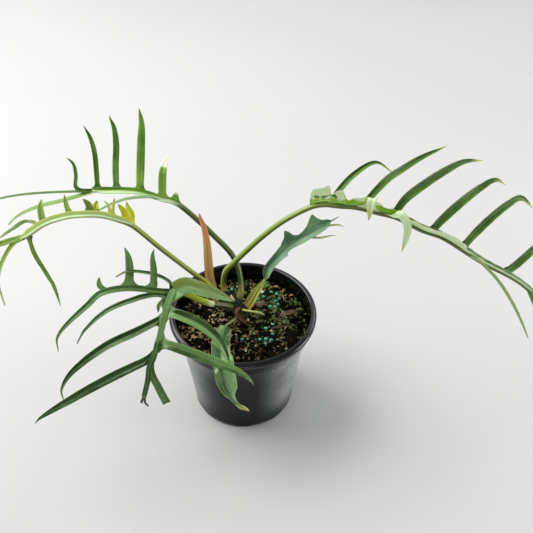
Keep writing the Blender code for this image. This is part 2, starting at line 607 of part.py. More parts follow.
def build():
    clear_scene()
    plant = new_collection("potted_philodendron_tortum")
    black_plastic = material("black_plastic", (0.02, 0.022, 0.023), 0.4)
    potting_mix = material("potting_mix", (0.045, 0.03, 0.02), 0.95)
    stem_skin = material("stem_skin", (0.05, 0.07, 0.02), 0.6)
    leaf_green = material("leaf_green", (0.06, 0.2, 0.05), 0.35)
    young_green = material("young_green", (0.2, 0.36, 0.08), 0.35)
    blue_green = material("blue_green", (0.1, 0.25, 0.13), 0.4)
    dry_sheath = material("dry_sheath", (0.5, 0.2, 0.08), 0.7)

    make_pot(plant, black_plastic)
    fronds = [("leaf_right", LEAF_RIGHT, leaf_green), ("leaf_back_left", LEAF_BACK_LEFT, leaf_green),
              ("leaf_front_left", LEAF_FRONT_LEFT, young_green), ("leaf_low_left", LEAF_LOW_LEFT, leaf_green),
              ("leaf_small_right", LEAF_SMALL_RIGHT, blue_green),
              ("leaf_small_front", LEAF_SMALL_FRONT, young_green)]
    ribs = []
    for name, sizes, look in fronds:
        obj, rib, blades = leaf(name, sizes, plant)
        if name == "leaf_low_left":
            branch = Rib(LOW_BRANCH[:1], LOW_BRANCH[1:])
            for number, (along, width, points, face) in enumerate(LOW_BRANCH_LOBES):
                lobe(f"{name}_branch_lobe_{number}", branch, along, width, points, face, blades)
        if name == "leaf_small_right":
            blade_sides(name + "_blade", rib, SMALL_RIGHT_LEFT_SIDE, SMALL_RIGHT_RIGHT_SIDE, 12.0,
                        TO_FRONT, 14, blades)
        if name == "leaf_small_front":
            blade_sides(name + "_blade", rib, SMALL_FRONT_SIDE, SMALL_FRONT_SIDE, 20.0, UP, 18, blades)
        boolean_group(obj, blades, "UNION")
        finish(obj, look)
        ribs.append((rib, sizes["thick"]))
    make_stem(plant, stem_skin, ribs)
    make_soil(plant, potting_mix)
    folded_scrap("dry_cataphyll", SHEATH_ROUTE, SHEATH_SIDE, SHEATH_FOLD, TO_FRONT, 12, plant, dry_sheath)
    folded_scrap("dried_sheath", SCRAP_ROUTE, SCRAP_SIDE, 30.0, TO_FRONT, 6, plant, dry_sheath)


build()
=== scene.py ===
import math
import random

import bmesh
import bpy
from mathutils import Matrix, Vector, noise
from mathutils.geometry import interpolate_bezier


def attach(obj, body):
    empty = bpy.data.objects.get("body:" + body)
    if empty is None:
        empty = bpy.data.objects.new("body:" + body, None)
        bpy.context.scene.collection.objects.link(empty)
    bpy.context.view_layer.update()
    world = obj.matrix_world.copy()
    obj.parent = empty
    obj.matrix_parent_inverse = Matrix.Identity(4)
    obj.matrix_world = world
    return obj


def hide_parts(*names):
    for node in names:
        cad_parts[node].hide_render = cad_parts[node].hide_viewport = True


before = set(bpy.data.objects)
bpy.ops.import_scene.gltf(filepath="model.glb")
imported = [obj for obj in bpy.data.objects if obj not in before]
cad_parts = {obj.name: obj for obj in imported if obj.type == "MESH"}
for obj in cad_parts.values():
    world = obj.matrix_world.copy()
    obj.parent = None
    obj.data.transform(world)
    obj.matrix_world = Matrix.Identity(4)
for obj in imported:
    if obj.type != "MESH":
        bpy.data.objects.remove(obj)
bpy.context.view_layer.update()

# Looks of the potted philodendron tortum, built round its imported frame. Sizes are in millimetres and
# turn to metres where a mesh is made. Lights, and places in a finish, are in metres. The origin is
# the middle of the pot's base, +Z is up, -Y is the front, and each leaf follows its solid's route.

# Nursery pot: one thin shell of black polypropylene, blow moulded with a rolled lip, a plain band
# under it, a step, and drain notches let into the corner of the base. The mix is packed inside it.

MM = 0.001
MERGE = 1e-6
POT_HEIGHT = 90.0
POT_WALL = 1.3
RIM_RADIUS = 54.0
LIP_WIDTH = 4.5
LIP_HEIGHT = 4.0
LIP_ROUND = 1.4
ROLL_HEIGHT = 2.3
BAND_RADIUS = 50.6
LEDGE_HEIGHT = 75.0
BODY_RADIUS = 47.2
BASE_RADIUS = 38.6
INNER_FOOT = 2.3
INNER_RISE = 71.5
OUTER_TOP = 73.0
OUTER_FALL = 69.0
POT_STEPS = 192
NOTCH_COUNT = 8
NOTCH_ANGLE = 25.0
NOTCH_HEIGHT = 2.6
NOTCH_INNER = 34.5
# Shares of the pale painted sheen on the pot's right and left sides.
SHEEN_RIGHT = 0.62
SHEEN_LEFT = 0.32


def srgb(red, green, blue):
    """A colour as it is seen, from 0 to 255, turned to the linear values that a shader takes."""
    seen = [value / 255.0 for value in (red, green, blue)]
    linear = [value / 12.92 if value < 0.04 else ((value + 0.055) / 1.055) ** 2.4 for value in seen]
    return (*linear, 1.0)


class Finish:
    """One surface finish: a Principled shader and the nodes that lead to it."""

    def __init__(self, name, roughness=0.5, **fixed):
        self.material = bpy.data.materials.new(name)
        self.material.use_nodes = True
        self.tree = self.material.node_tree
        self.shader = self.tree.nodes["Principled BSDF"]
        self.shader.inputs["Roughness"].default_value = roughness
        for label, value in fixed.items():
            self.shader.inputs[label.replace("_", " ")].default_value = value

    def node(self, kind, values=None, **settings):
        """A new node, with values or the outputs of other nodes plugged into its inputs."""
        made = self.tree.nodes.new("ShaderNode" + kind)
        for name, value in settings.items():
            setattr(made, name, value)
        for label, value in (values or {}).items():
            self.plug(made.inputs[label], value)
        return made

    def plug(self, socket, value):
        if isinstance(value, bpy.types.NodeSocket):
            self.tree.links.new(value, socket)
        else:
            socket.default_value = value

    def set(self, label, value):
        self.plug(self.shader.inputs[label], value)

    def place(self, scale=(1.0, 1.0, 1.0)):
        """Object coordinates in metres, stretched by scale."""
        coordinates = self.node("TexCoord").outputs["Object"]
        return self.node("Mapping", {"Vector": coordinates, "Scale": scale}).outputs[0]

    def marks(self, name):
        """The three numbers of a vector attribute of the mesh."""
        vector = self.node("Attribute", attribute_name=name).outputs["Vector"]
        return self.node("SeparateXYZ", {"Vector": vector}).outputs

    def noise(self, vector, scale, detail=3.0, rough=0.55):
        values = {"Vector": vector, "Scale": scale, "Detail": detail, "Roughness": rough}
        return self.node("TexNoise", values).outputs["Fac"]

    def between(self, value, low, high, to=(0.0, 1.0)):
        """Smoothly from the first value of to, at low, to the second, at high."""
        values = {"Value": value, "From Min": low, "From Max": high, "To Min": to[0], "To Max": to[1]}
        return self.node("MapRange", values, interpolation_type="SMOOTHSTEP").outputs[0]

    def mix(self, amount, first, second):
        """Two colours blended, each a socket or its red, green and blue as they are seen."""
        made = self.node("Mix", data_type="RGBA")
        self.plug(made.inputs[0], amount)
        for place, colour in ((6, first), (7, second)):
            self.plug(made.inputs[place], srgb(*colour) if isinstance(colour, tuple) else colour)
        return made.outputs[2]

    def reckon(self, operation, first, second):
        """Two numbers put together by an operation of the Math node."""
        made = self.node("Math", operation=operation)
        self.plug(made.inputs[0], first)
        self.plug(made.inputs[1], second)
        return made.outputs[0]

    def times(self, first, second):
        return self.reckon("MULTIPLY", first, second)

    def plus(self, first, second):
        return self.reckon("ADD", first, second)

    def bump(self, height, strength, depth_mm):
        values = {"Height": height, "Strength": strength, "Distance": depth_mm * MM}
        self.set("Normal", self.node("Bump", values).outputs[0])


def add_piece(name, bm, finishes, slot, *nodes):
    """Finish a mesh as a piece that rides on the one body and stands for these nodes."""
    mesh = bpy.data.meshes.new(name)
    bm.to_mesh(mesh)
    bm.free()
    for finish in finishes:
        mesh.materials.append(finish.material)
    piece = bpy.data.objects.new(name, mesh)
    bpy.context.scene.collection.objects.link(piece)
    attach(piece, "root")
    if nodes:
        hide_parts(*nodes)


def black_plastic(name, sheen_share, gloss):
    """Black plastic with a fine moulded grain and dusty specks. Where the painted sheen has a share, a pale
    coat of it, standing for the glare of the lit floor, lies on both sides, thicker on the right, in
    patches, and the plastic is duller face-on and glossier edge-on."""
    finish = Finish(name, Sheen_Weight=sheen_share * 0.03)
    facing = finish.node("LayerWeight", {"Blend": 0.5}).outputs["Facing"]
    face_on = 0.5 - 0.36 * sheen_share
    edge_on = 0.5 + 0.5 * sheen_share
    finish.set("Specular IOR Level", finish.between(facing, 0.6, 0.9, (face_on, edge_on)))
    grain = finish.noise(finish.place(), 900.0, 2.0)
    streaks = finish.noise(finish.place((90.0, 90.0, 12.0)), 1.0, 4.0)
    dust_and_sheen_noise = finish.noise(finish.place(), 60.0, 8.0, 0.7)
    x, _, height = finish.node("SeparateXYZ", {"Vector": finish.place()}).outputs
    colour = finish.mix(finish.between(streaks, 0.35, 0.7), (3, 5, 6), (8, 12, 12))
    colour = finish.mix(finish.between(dust_and_sheen_noise, 0.64, 0.8, (0.0, 0.1)), colour, (110, 116, 110))
    # Painted sheen: a pale coat, thicker on the right, that stands for the glare of the lit floor on the
    # glossy sides.
    right = finish.between(x, 0.008, 0.048, (0.0, SHEEN_RIGHT))
    left = finish.between(x, -0.048, -0.014, (SHEEN_LEFT, 0.0))
    painted_sheen = finish.plus(right, left)
    painted_sheen = finish.times(painted_sheen, finish.between(dust_and_sheen_noise, 0.3, 0.7, (0.55 * sheen_share, sheen_share)))
    painted_sheen = finish.times(painted_sheen, finish.between(height, 0.074, 0.084, (1.0, 0.55)))
    painted_sheen = finish.times(painted_sheen, finish.between(height, 0.0, 0.03))
    finish.set("Base Color", finish.mix(painted_sheen, colour, (214, 226, 220)))
    finish.set("Roughness", finish.between(streaks, 0.3, 0.75, (gloss, gloss + 0.04)))
    finish.bump(grain, 0.2, 0.05)
    return finish


def nursery_pot():
    """The shell's section, up the inside, over the lip and down the outside, spun round."""
    lip_inner = RIM_RADIUS - LIP_WIDTH
    lip_under = POT_HEIGHT - LIP_HEIGHT
    roll_width = LIP_WIDTH - LIP_ROUND
    inner_base = BASE_RADIUS - POT_WALL
    inner_band = BAND_RADIUS - POT_WALL
    flare = BODY_RADIUS - BASE_RADIUS
    quarters = (0.25, 0.5, 0.75, 1.0)
    profile = [(0.0, POT_WALL), (NOTCH_INNER - 1.5, POT_WALL), (NOTCH_INNER, POT_WALL)]
    profile += [(inner_base - 0.5, POT_WALL + 0.2), (inner_base, POT_WALL + 1.0)]
    profile += [(inner_base + flare * part, INNER_FOOT + INNER_RISE * part) for part in quarters]
    profile += [(inner_band - 0.5, LEDGE_HEIGHT + 0.2), (inner_band - 0.1, LEDGE_HEIGHT + 1.0)]
    profile += [(lip_inner, POT_HEIGHT - LIP_ROUND)]
    for step in range(1, 6):
        turn = math.radians(90.0 * step / 5.0)
        radius = lip_inner + LIP_ROUND * (1.0 - math.cos(turn))
        profile.append((radius, POT_HEIGHT - LIP_ROUND * (1.0 - math.sin(turn))))
    for step in range(1, 9):
        turn = math.radians(90.0 * step / 8.0)
        radius = RIM_RADIUS - roll_width * (1.0 - math.sin(turn))
        profile.append((radius, POT_HEIGHT - ROLL_HEIGHT * (1.0 - math.cos(turn))))
    profile += [(RIM_RADIUS, lip_under + 0.6), (RIM_RADIUS - 0.2, lip_under + 0.15)]
    profile += [(RIM_RADIUS - 0.7, lip_under), (BAND_RADIUS + 0.5, lip_under)]
    profile += [(BAND_RADIUS + 0.1, lip_under - 0.2), (BAND_RADIUS, lip_under - 0.7)]
    profile += [(BAND_RADIUS - 0.35, LEDGE_HEIGHT + 1.2), (BAND_RADIUS - 0.5, LEDGE_HEIGHT + 0.4)]
    profile += [(BODY_RADIUS + 0.4, LEDGE_HEIGHT - 1.2), (BODY_RADIUS, LEDGE_HEIGHT - 2.0)]
    profile += [(BODY_RADIUS - flare * part, OUTER_TOP - OUTER_FALL * part) for part in quarters]
    profile += [(BASE_RADIUS, 1.6), (BASE_RADIUS - 0.2, 0.7), (BASE_RADIUS - 0.7, 0.2)]
    profile += [(BASE_RADIUS - 1.5, 0.0), (NOTCH_INNER, 0.0), (NOTCH_INNER - 0.5, 0.0), (0.0, 0.0)]
    bm = bmesh.new()
    verts = [bm.verts.new(Vector((radius, 0.0, height)) * MM) for radius, height in profile]
    edges = [bm.edges.new(pair) for pair in zip(verts, verts[1:])]
    bmesh.ops.spin(bm, geom=verts + edges, cent=(0.0, 0.0, 0.0), axis=(0.0, 0.0, 1.0), angle=math.tau,
                   steps=POT_STEPS, use_merge=True)
    bmesh.ops.remove_doubles(bm, verts=bm.verts, dist=MERGE)

    # The drain notches: there the corner of the base is pushed up.
    for vert in bm.verts:
        radius = math.hypot(vert.co.x, vert.co.y) / MM
        sector = math.degrees(math.atan2(vert.co.y, vert.co.x)) % (360.0 / NOTCH_COUNT)
        in_notch = abs(sector - 180.0 / NOTCH_COUNT) < NOTCH_ANGLE / 2.0 and radius > NOTCH_INNER - 0.3
        if in_notch and vert.co.z < POT_WALL * 0.9 * MM + 1e-5:
            height = POT_WALL - 0.5 if radius < BASE_RADIUS - 1.8 else NOTCH_HEIGHT
            vert.co.z = height * MM

    # The outside below the lip has the dusty finish with its painted sheen.
    bmesh.ops.recalc_face_normals(bm, faces=bm.faces)
    for face in bm.faces:
        face.smooth = True
        middle = face.calc_center_median()
        outside = middle.x * face.normal.x + middle.y * face.normal.y > 0.0
        face.material_index = 1 if outside and middle.z < lip_under * MM else 0
    finishes = [black_plastic("moulded_plastic", 0.0, 0.18), black_plastic("dust_and_sheen_plastic", 1.0, 0.26)]
    add_piece("nursery_pot", bm, finishes, "black_plastic", "pot")


nursery_pot()

# Potting mix: peat, bark fines and coir, pressed level with the ledge inside the rim and a little
# mounded. Its bed is one displaced surface, and loose clods, crumbs and flecks are strewn over it.

GAP = 0.3
SOIL_EDGE = 77.0
SOIL_CENTRE = 78.0
SOIL_BUMP = 0.9
CLOD = 7.0
CRUMB = 3.0
SOIL_TOP_RADIUS = BAND_RADIUS - POT_WALL - 0.5 - GAP - 0.2
SOIL_RINGS = 60
SOIL_STEPS = 160
EDGE_CLEARANCE = 1.2
DENT = 0.16
PATCH_REACH = 30.0
PATCH = 6.0

# Each kind of grain: seed, count, sizes, flatness, lift and the patches where it lies, then its
# finish with two shades and the colour of its specks.
GRAINS = [
    ("mix_clods", (10, 260, (1.4, 4.0), 0.5, 0.05),
     ("clod", (2, 2, 1), (24, 22, 14), (84, 76, 50))),
    ("mix_crumbs", (11, 4200, (0.4, 1.9), 0.7, 0.15),
     ("dark_crumb", (2, 2, 1), (22, 20, 13), (104, 94, 66))),
    ("mix_moss_flecks", (12, 2250, (0.4, 1.5), 0.6, 0.4, (4.0, (22.0, 24.0))),
     ("moss_fleck", (30, 42, 22), (116, 132, 80), (230, 230, 184))),
    ("mix_olive_flecks", (14, 900, (0.3, 1.2), 0.6, 0.3, (7.0, (14.0, -26.0))),
     ("olive_fleck", (44, 46, 22), (112, 112, 66), (196, 190, 138))),
    # Tan flecks in patches at the left: partly their own tan, and partly lightened as painted light where
    # the left of the mix is lit.
    ("mix_tan_flecks", (13, 2700, (0.42, 1.25), 0.6, 0.4, (5.0, (-32.0, -2.0))),
     ("tan_fleck", (104, 78, 54), (206, 174, 132), (250, 238, 210))),
    ("mix_cream_flecks", (15, 300, (0.3, 0.9), 0.6, 0.5),
     ("cream_fleck", (150, 136, 96), (208, 196, 156), (232, 226, 200))),
]


def soil_height(x, y):
    """Height of the mix at x and y, as its solid has it, with finer crumbs on top."""
    mound = (SOIL_CENTRE - SOIL_EDGE) * (1.0 - (x * x + y * y) / SOIL_TOP_RADIUS ** 2)
    rough = noise.noise(Vector((x, y, 0.0)) / CLOD) + 0.5 * noise.noise(Vector((x, y, 9.0)) / CRUMB)
    return SOIL_EDGE + mound + SOIL_BUMP * rough


def crumbly(name, low, high, speck):
    """Open, crumbly stuff: two shades broken up by specks, all matt."""
    finish = Finish(name, 0.9, Specular_IOR_Level=0.03)
    broad = finish.noise(finish.place(), 110.0, 6.0, 0.65)
    fine = finish.noise(finish.place(), 700.0, 5.0, 0.7)
    colour = finish.mix(finish.between(broad, 0.35, 0.65), low, high)
    colour = finish.mix(finish.between(fine, 0.58, 0.72), colour, speck)
    finish.set("Base Color", colour)
    finish.bump(fine, 0.9, 0.5)
    return finish


def soil_bed():
    """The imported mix: a disc whose edge is drawn down the wall, and whose top is ringed and raised."""
    bm = bmesh.new()
    bmesh.ops.create_circle(bm, cap_ends=False, segments=SOIL_STEPS, radius=SOIL_TOP_RADIUS)
    ring = bm.edges[:]
    outer = ring
    ledge = (BODY_RADIUS - POT_WALL - GAP - 0.2, LEDGE_HEIGHT - 0.7)
    foot = (BASE_RADIUS - POT_WALL - GAP, POT_WALL + GAP + 1.4)
    for radius, height in ((SOIL_TOP_RADIUS, LEDGE_HEIGHT + 0.8), ledge, foot):
        grown = bmesh.ops.extrude_edge_only(bm, edges=outer)["geom"]
        outer = [item for item in grown if isinstance(item, bmesh.types.BMEdge)]
        for vert in (item for item in grown if isinstance(item, bmesh.types.BMVert)):
            outward = Vector((vert.co.x, vert.co.y, 0.0)).normalized()
            vert.co = outward * radius + Vector((0.0, 0.0, height))
    bmesh.ops.contextual_create(bm, geom=outer)
    for index in range(1, SOIL_RINGS):
        grown = bmesh.ops.extrude_edge_only(bm, edges=ring)["geom"]
        ring = [item for item in grown if isinstance(item, bmesh.types.BMEdge)]
        scale = (SOIL_RINGS - index) / (SOIL_RINGS - index + 1.0)
        for vert in (item for item in grown if isinstance(item, bmesh.types.BMVert)):
            vert.co.x *= scale
            vert.co.y *= scale
    bmesh.ops.poke(bm, faces=bmesh.ops.contextual_create(bm, geom=ring)["faces"])
    for vert in bm.verts:
        if vert.co.z == 0.0:
            x, y = vert.co.x, vert.co.y
            grit = noise.turbulence(Vector((x, y, 3.0)) / 2.2, 3, True)
            vert.co.z = soil_height(x, y) - 0.3 + 1.5 * (grit - 0.5)
    bmesh.ops.scale(bm, vec=(MM, MM, MM), verts=bm.verts)
    bmesh.ops.recalc_face_normals(bm, faces=bm.faces)
    for face in bm.faces:
        face.smooth = True
    finish = crumbly("damp_mix", (4, 4, 3), (30, 27, 20), (72, 64, 48))
    add_piece("potting_mix_bed", bm, [finish], "potting_mix", "soil")


def gather(bm, single):
    """Add a small mesh to a big one, and free it."""
    mesh = bpy.data.meshes.new("single")
    single.to_mesh(mesh)
    single.free()
    bm.from_mesh(mesh)
    bpy.data.meshes.remove(mesh)


def patchy(x, y, seed, middle):
    """A share from 0 to 1 that is high near a middle and breaks up into patches."""
    near = math.exp(-((x - middle[0]) ** 2 + (y - middle[1]) ** 2) / PATCH_REACH ** 2)
    patch = noise.noise(Vector((x, y, seed)) / PATCH) + 0.5
    return max(0.02, min(1.0, near * (3.4 * patch - 0.9)))


def scattered(seed, count, sizes, flat, lift, patch=None):
    """Rough little lumps strewn over the mix, each one a dented ball sunk a little way in. A patch
    gives the seed and the middle of the patches that they lie in."""
    draw = random.Random(seed)
    bm = bmesh.new()
    placed = 0
    while placed < count:
        angle = draw.uniform(0.0, math.tau)
        radius = (SOIL_TOP_RADIUS - EDGE_CLEARANCE) * math.sqrt(draw.random())
        x = radius * math.cos(angle)
        y = radius * math.sin(angle)
        if draw.random() > (patchy(x, y, *patch) if patch else 1.0):
            continue
        placed += 1
        size = sizes[0] + (sizes[1] - sizes[0]) * draw.random() ** 2.2
        heading = Matrix.Rotation(draw.uniform(0.0, math.tau), 4, "Z")
        turn = heading @ Matrix.Rotation(draw.uniform(-0.5, 0.5), 4, "X")
        long_side = size * draw.uniform(0.7, 1.6)
        short_side = size * draw.uniform(0.6, 1.0)
        shape = Matrix.Diagonal((long_side, short_side, size * flat, 1.0))
        place = Matrix.Translation(Vector((x, y, soil_height(x, y) + lift * size)) * MM)
        lump = bmesh.new()
        bmesh.ops.create_icosphere(lump, subdivisions=1, radius=MM, matrix=place @ turn @ shape)
        for vert in lump.verts:
            vert.co += Vector([draw.uniform(-DENT, DENT) * size * MM for _ in range(3)])
        gather(bm, lump)
    return bm


soil_bed()
for name, strewn, stuff in GRAINS:
    grains = scattered(*strewn)
    add_piece(name, grains, [crumbly(*stuff)], "potting_mix")

# Feed pellets, perlite, chips and fibres: coated emerald beads of slow-release feed, white popped
# perlite, chips of bark and dry wood that float up in watering, and curls of coir, all of them loose.

# Places of the pellets, places and sizes of the perlite, and place, length, width and turn of the
# chips, of which the first few are bark.
PELLET_RADIUS = 1.6
PELLETS = [(17, 42), (21, 32), (25, 29), (27, 24), (24, 21), (26, 18), (20, 15), (24, 15), (15, 26),
           (11, 23), (22, -4), (17, -8), (22, -13), (13, -19), (17, -18), (21, -19), (17, -22),
           (0, -19), (-10, 33)]
PERLITE = [(14, 31, 1.5), (18, 28, 1.3), (-37, 9, 1.2), (-31, 4, 0.7), (-24, -14, 0.8), (3, -30, 0.9),
           (31, 20, 0.8), (-6, 37, 0.8), (36, -10, 0.7)]
CHIPS = [(34, 9, 13, 5, 20), (13, 17, 8, 5, 60), (25, -6, 10, 3, 10), (24, 38, 5, 2.4, -10),
         (36, 28, 4, 2.4, 40), (-19, 38, 6, 2.4, 30), (30, 33, 3.4, 2, 70), (38, 17, 3.4, 1.6, 0),
         (-30, -6, 5, 1.8, -30), (-2, -36, 4, 1.6, 15), (30, -22, 4, 1.6, 50), (6, -12, 5, 1.6, 80),
         (-36, 20, 4, 1.6, 10), (8, 40, 4, 1.6, -20)]
CHIP_THICK = 2.2
BARK_CHIPS = 3
FIBRE_COUNT = 110


def feed_bead():
    """Glossy emerald coat, cloudy in places."""
    finish = Finish("feed_bead", Coat_Weight=0.9, Coat_Roughness=0.1)
    cloud = finish.noise(finish.place(), 420.0, 4.0)
    finish.set("Base Color", finish.mix(finish.between(cloud, 0.35, 0.7), (6, 124, 100), (56, 196, 156)))
    finish.set("Roughness", finish.between(cloud, 0.3, 0.7, (0.3, 0.5)))
    return finish


def feed_beads():
    """Round beads, a little squashed, half sunk in the mix."""
    draw = random.Random(21)
    bm = bmesh.new()
    for x, y in PELLETS:
        size = PELLET_RADIUS * draw.uniform(0.82, 1.06)
        place = Matrix.Translation(Vector((x, y, soil_height(x, y) + size * 0.45)) * MM)
        squash = Matrix.Diagonal((1.0, draw.uniform(0.9, 1.0), draw.uniform(0.9, 1.0), 1.0))
        bmesh.ops.create_icosphere(bm, subdivisions=3, radius=size * MM, matrix=place @ squash)
    for face in bm.faces:
        face.smooth = True
    add_piece("feed_beads", bm, [feed_bead()], "potting_mix")


def perlite():
    """White grains, dented all over."""
    draw = random.Random(22)
    bm = bmesh.new()
    for x, y, size in PERLITE:
        place = Matrix.Translation(Vector((x, y, soil_height(x, y) + size * 0.5)) * MM)
        for vert in bmesh.ops.create_icosphere(bm, subdivisions=2, radius=size * MM, matrix=place)["verts"]:
            vert.co += Vector([draw.uniform(-0.2, 0.2) * size * MM for _ in range(3)])
    finish = crumbly("perlite", (214, 212, 202), (240, 240, 234), (188, 184, 170))
    add_piece("perlite_grains", bm, [finish], "potting_mix")


def chips(name, sizes, seed, finish):
    """Flat chips with worn corners, each tilted a little as it lies."""
    draw = random.Random(seed)
    bm = bmesh.new()
    for x, y, length, width, turn in sizes:
        chip = bmesh.new()
        bmesh.ops.create_cube(chip, size=1.0)
        bmesh.ops.subdivide_edges(chip, edges=chip.edges[:], cuts=3, use_grid_fill=True)
        for vert in chip.verts:
            rounding = 1.0 - 0.35 * abs(vert.co.x * 2.0) ** 3
            vert.co.y *= rounding * draw.uniform(0.8, 1.1)
            vert.co.z *= rounding * draw.uniform(0.7, 1.1)
            vert.co.z -= 0.25 * vert.co.x ** 2
        heading = Matrix.Rotation(math.radians(turn), 4, "Z")
        tilt = heading @ Matrix.Rotation(draw.uniform(-0.15, 0.15), 4, "Y")
        place = Matrix.Translation(Vector((x, y, soil_height(x, y) + 0.6)) * MM)
        size = Matrix.Diagonal((length * MM, width * MM, min(CHIP_THICK, width * 0.6) * MM, 1.0))
        bmesh.ops.transform(chip, matrix=place @ tilt @ size, verts=chip.verts)
        gather(bm, chip)
    for face in bm.faces:
        face.smooth = True
    add_piece(name, bm, [finish], "potting_mix")


# The upper side of limbs and blades faces a little forward.
UP = Vector((0.0, -0.3, 0.95))


def read_off(pairs, where):
    """Straight-line reading of a list of (place, value) pairs."""
    if where <= pairs[0][0]:
        return pairs[0][1]
    for (low, first), (high, second) in zip(pairs, pairs[1:]):
        if where <= high:
            return first + (second - first) * (where - low) / (high - low)
    return pairs[-1][1]


def smooth_path(points, count):
    """Evenly spaced points on one smooth curve through the given points, and its length."""
    knots = [Vector(point) for point in points]
    fine = []
    for index in range(len(knots) - 1):
        here, there = knots[index], knots[index + 1]
        before = knots[index - 1] if index else here
        after = knots[index + 2] if index + 2 < len(knots) else there
        reach = (there - here).length / 3.0
        start = here + (there - before).normalized() * reach
        end = there - (after - here).normalized() * reach
        fine += interpolate_bezier(here, start, end, there, 16)[:-1]
    fine.append(knots[-1])
    travelled = [0.0]
    for here, there in zip(fine, fine[1:]):
        travelled.append(travelled[-1] + (there - here).length)
    length = travelled[-1]
    even = []
    segment = 0
    for index in range(count):
        place = length * index / (count - 1)
        while segment < len(fine) - 2 and travelled[segment + 1] < place:
            segment += 1
        step = travelled[segment + 1] - travelled[segment]
        even.append(fine[segment].lerp(fine[segment + 1], (place - travelled[segment]) / step))
    return even, length


def tangents(points):
    """Directions of a path at its points."""
    last = len(points) - 1
    return [(points[min(i + 1, last)] - points[max(i - 1, 0)]).normalized() for i in range(last + 1)]


def across_path(directions, hint, anchor=0):
    """Sideways directions along a path that don't spin, square to the hint where they are anchored."""
    sideways = [None] * len(directions)
    sideways[anchor] = directions[anchor].cross(hint).normalized()
    for order in (range(anchor + 1, len(directions)), range(anchor - 1, -1, -1)):
        held = sideways[anchor]
        for index in order:
            held = (held - directions[index] * held.dot(directions[index])).normalized()
            sideways[index] = held
    return sideways


def most_level(directions, hint):
    """Where along a path its direction is most nearly square to the hint."""
    return min(range(len(directions)), key=lambda index: abs(directions[index].dot(hint)))


def wrap(bm, around, rows, place, slot_of):
    """One closed skin: place(turn, part) gives a point and its marks, turn round it and part along it."""
    blade = bm.verts.layers.float_vector.get("blade") or bm.verts.layers.float_vector.new("blade")
    extra = bm.verts.layers.float_vector.get("extra") or bm.verts.layers.float_vector.new("extra")
    grid = bmesh.ops.create_grid(bm, x_segments=around, y_segments=rows, size=1.0)["verts"]
    for face in {face for vert in grid for face in vert.link_faces}:
        face.smooth = True
        face.material_index = slot_of((face.calc_center_median().x + 1.0) / 2.0)
    for vert in grid:
        point, first, second = place((vert.co.x + 1.0) / 2.0, (vert.co.y + 1.0) / 2.0)
        vert.co = point * MM
        vert[blade] = first
        vert[extra] = second
    bmesh.ops.remove_doubles(bm, verts=grid, dist=MERGE)


def limb(bm, points, radius_at, around=20, slot=0, groove=0.0, knobs=None):
    """A round stalk, root or rib with rounded ends. groove presses a channel into its upper side."""
    rows = len(points) - 1
    directions = tangents(points)
    sideways = across_path(directions, UP, most_level(directions, UP))
    length = sum((there - here).length for here, there in zip(points, points[1:]))

    def place(turn, part):
        row = round(part * rows)
        along = part * length
        side = sideways[row]
        top = side.cross(directions[row])
        angle = math.tau * turn
        upness = math.cos(angle)
        radius = radius_at(along)
        end = min(along, length - along)
        radius *= math.sqrt(max(0.0, 1.0 - (1.0 - min(end / radius, 1.0)) ** 2))
        radius *= 1.0 - groove * math.exp(-((1.0 - upness) / 0.18) ** 2)
        if knobs:
            radius *= knobs(along, angle)
        offset = top * upness * radius + side * math.sin(angle) * radius
        return points[row] + offset, (upness, along, math.sin(angle)), (length - along, 0.5, 0.0)

    wrap(bm, around, rows, place, lambda turn: slot)


def fibres():
    """Short curls of coir and rootlets that lie over the surface."""
    draw = random.Random(23)
    bm = bmesh.new()
    for _ in range(FIBRE_COUNT):
        angle = draw.uniform(0.0, math.tau)
        radius = (SOIL_TOP_RADIUS - 5.0) * math.sqrt(draw.random())
        heading = draw.uniform(0.0, math.tau)
        bend = draw.uniform(-0.9, 0.9)
        length = draw.uniform(2.5, 8.0)
        thick = draw.uniform(0.12, 0.28)
        route = []
        for part in (-0.5, 0.0, 0.5):
            x = radius * math.cos(angle) + length * part * math.cos(heading + bend * part)
            y = radius * math.sin(angle) + length * part * math.sin(heading + bend * part)
            route.append((x, y, soil_height(x, y) + draw.uniform(0.1, 1.0)))
        single = bmesh.new()
        limb(single, smooth_path(route, 7)[0], lambda along: thick, 5)
        gather(bm, single)
    finish = crumbly("coir", (70, 46, 28), (128, 92, 58), (160, 124, 84))
    add_piece("mix_fibres", bm, [finish], "potting_mix")


feed_beads()
perlite()
bark = crumbly("bark_chip", (72, 60, 50), (124, 104, 90), (176, 158, 142))
wood = crumbly("wood_chip", (104, 82, 52), (164, 136, 94), (206, 184, 138))
chips("bark_chips", CHIPS[:BARK_CHIPS], 24, bark)
chips("wood_chips", CHIPS[BARK_CHIPS:], 25, wood)
fibres()

# Stem: a short green-brown stem that leans back through the mix, ringed by old leaf scars, with one
# pale stub root and a cream bud point. The stalks of the leaves rise from along it.

STEM_ROUTE = [(0, 2, 60), (-1, 4, 76), (-5, 9, 85), (-11, 14, 88), (-20, 18, 89)]
STEM_THICK = [(0, 5.5), (20, 5.4), (30, 5.3), (44, 4.0)]
AERIAL_ROOT = [(-1, 5, 85), (3, 3, 86), (8, 3, 85), (12, 5, 82), (16, 6, 78.6)]
ROOT_THICK = [(0, 1.0), (8, 0.8), (16, 1.0), (22, 0.8)]
BUD_ROUTE = [(-7, 8, 90), (-8.5, 8.5, 93), (-9, 8.5, 96.5)]
BUD_THICK = [(0, 2.0), (3, 1.6), (7, 0.5)]
SCAR_SPACING = 7.5


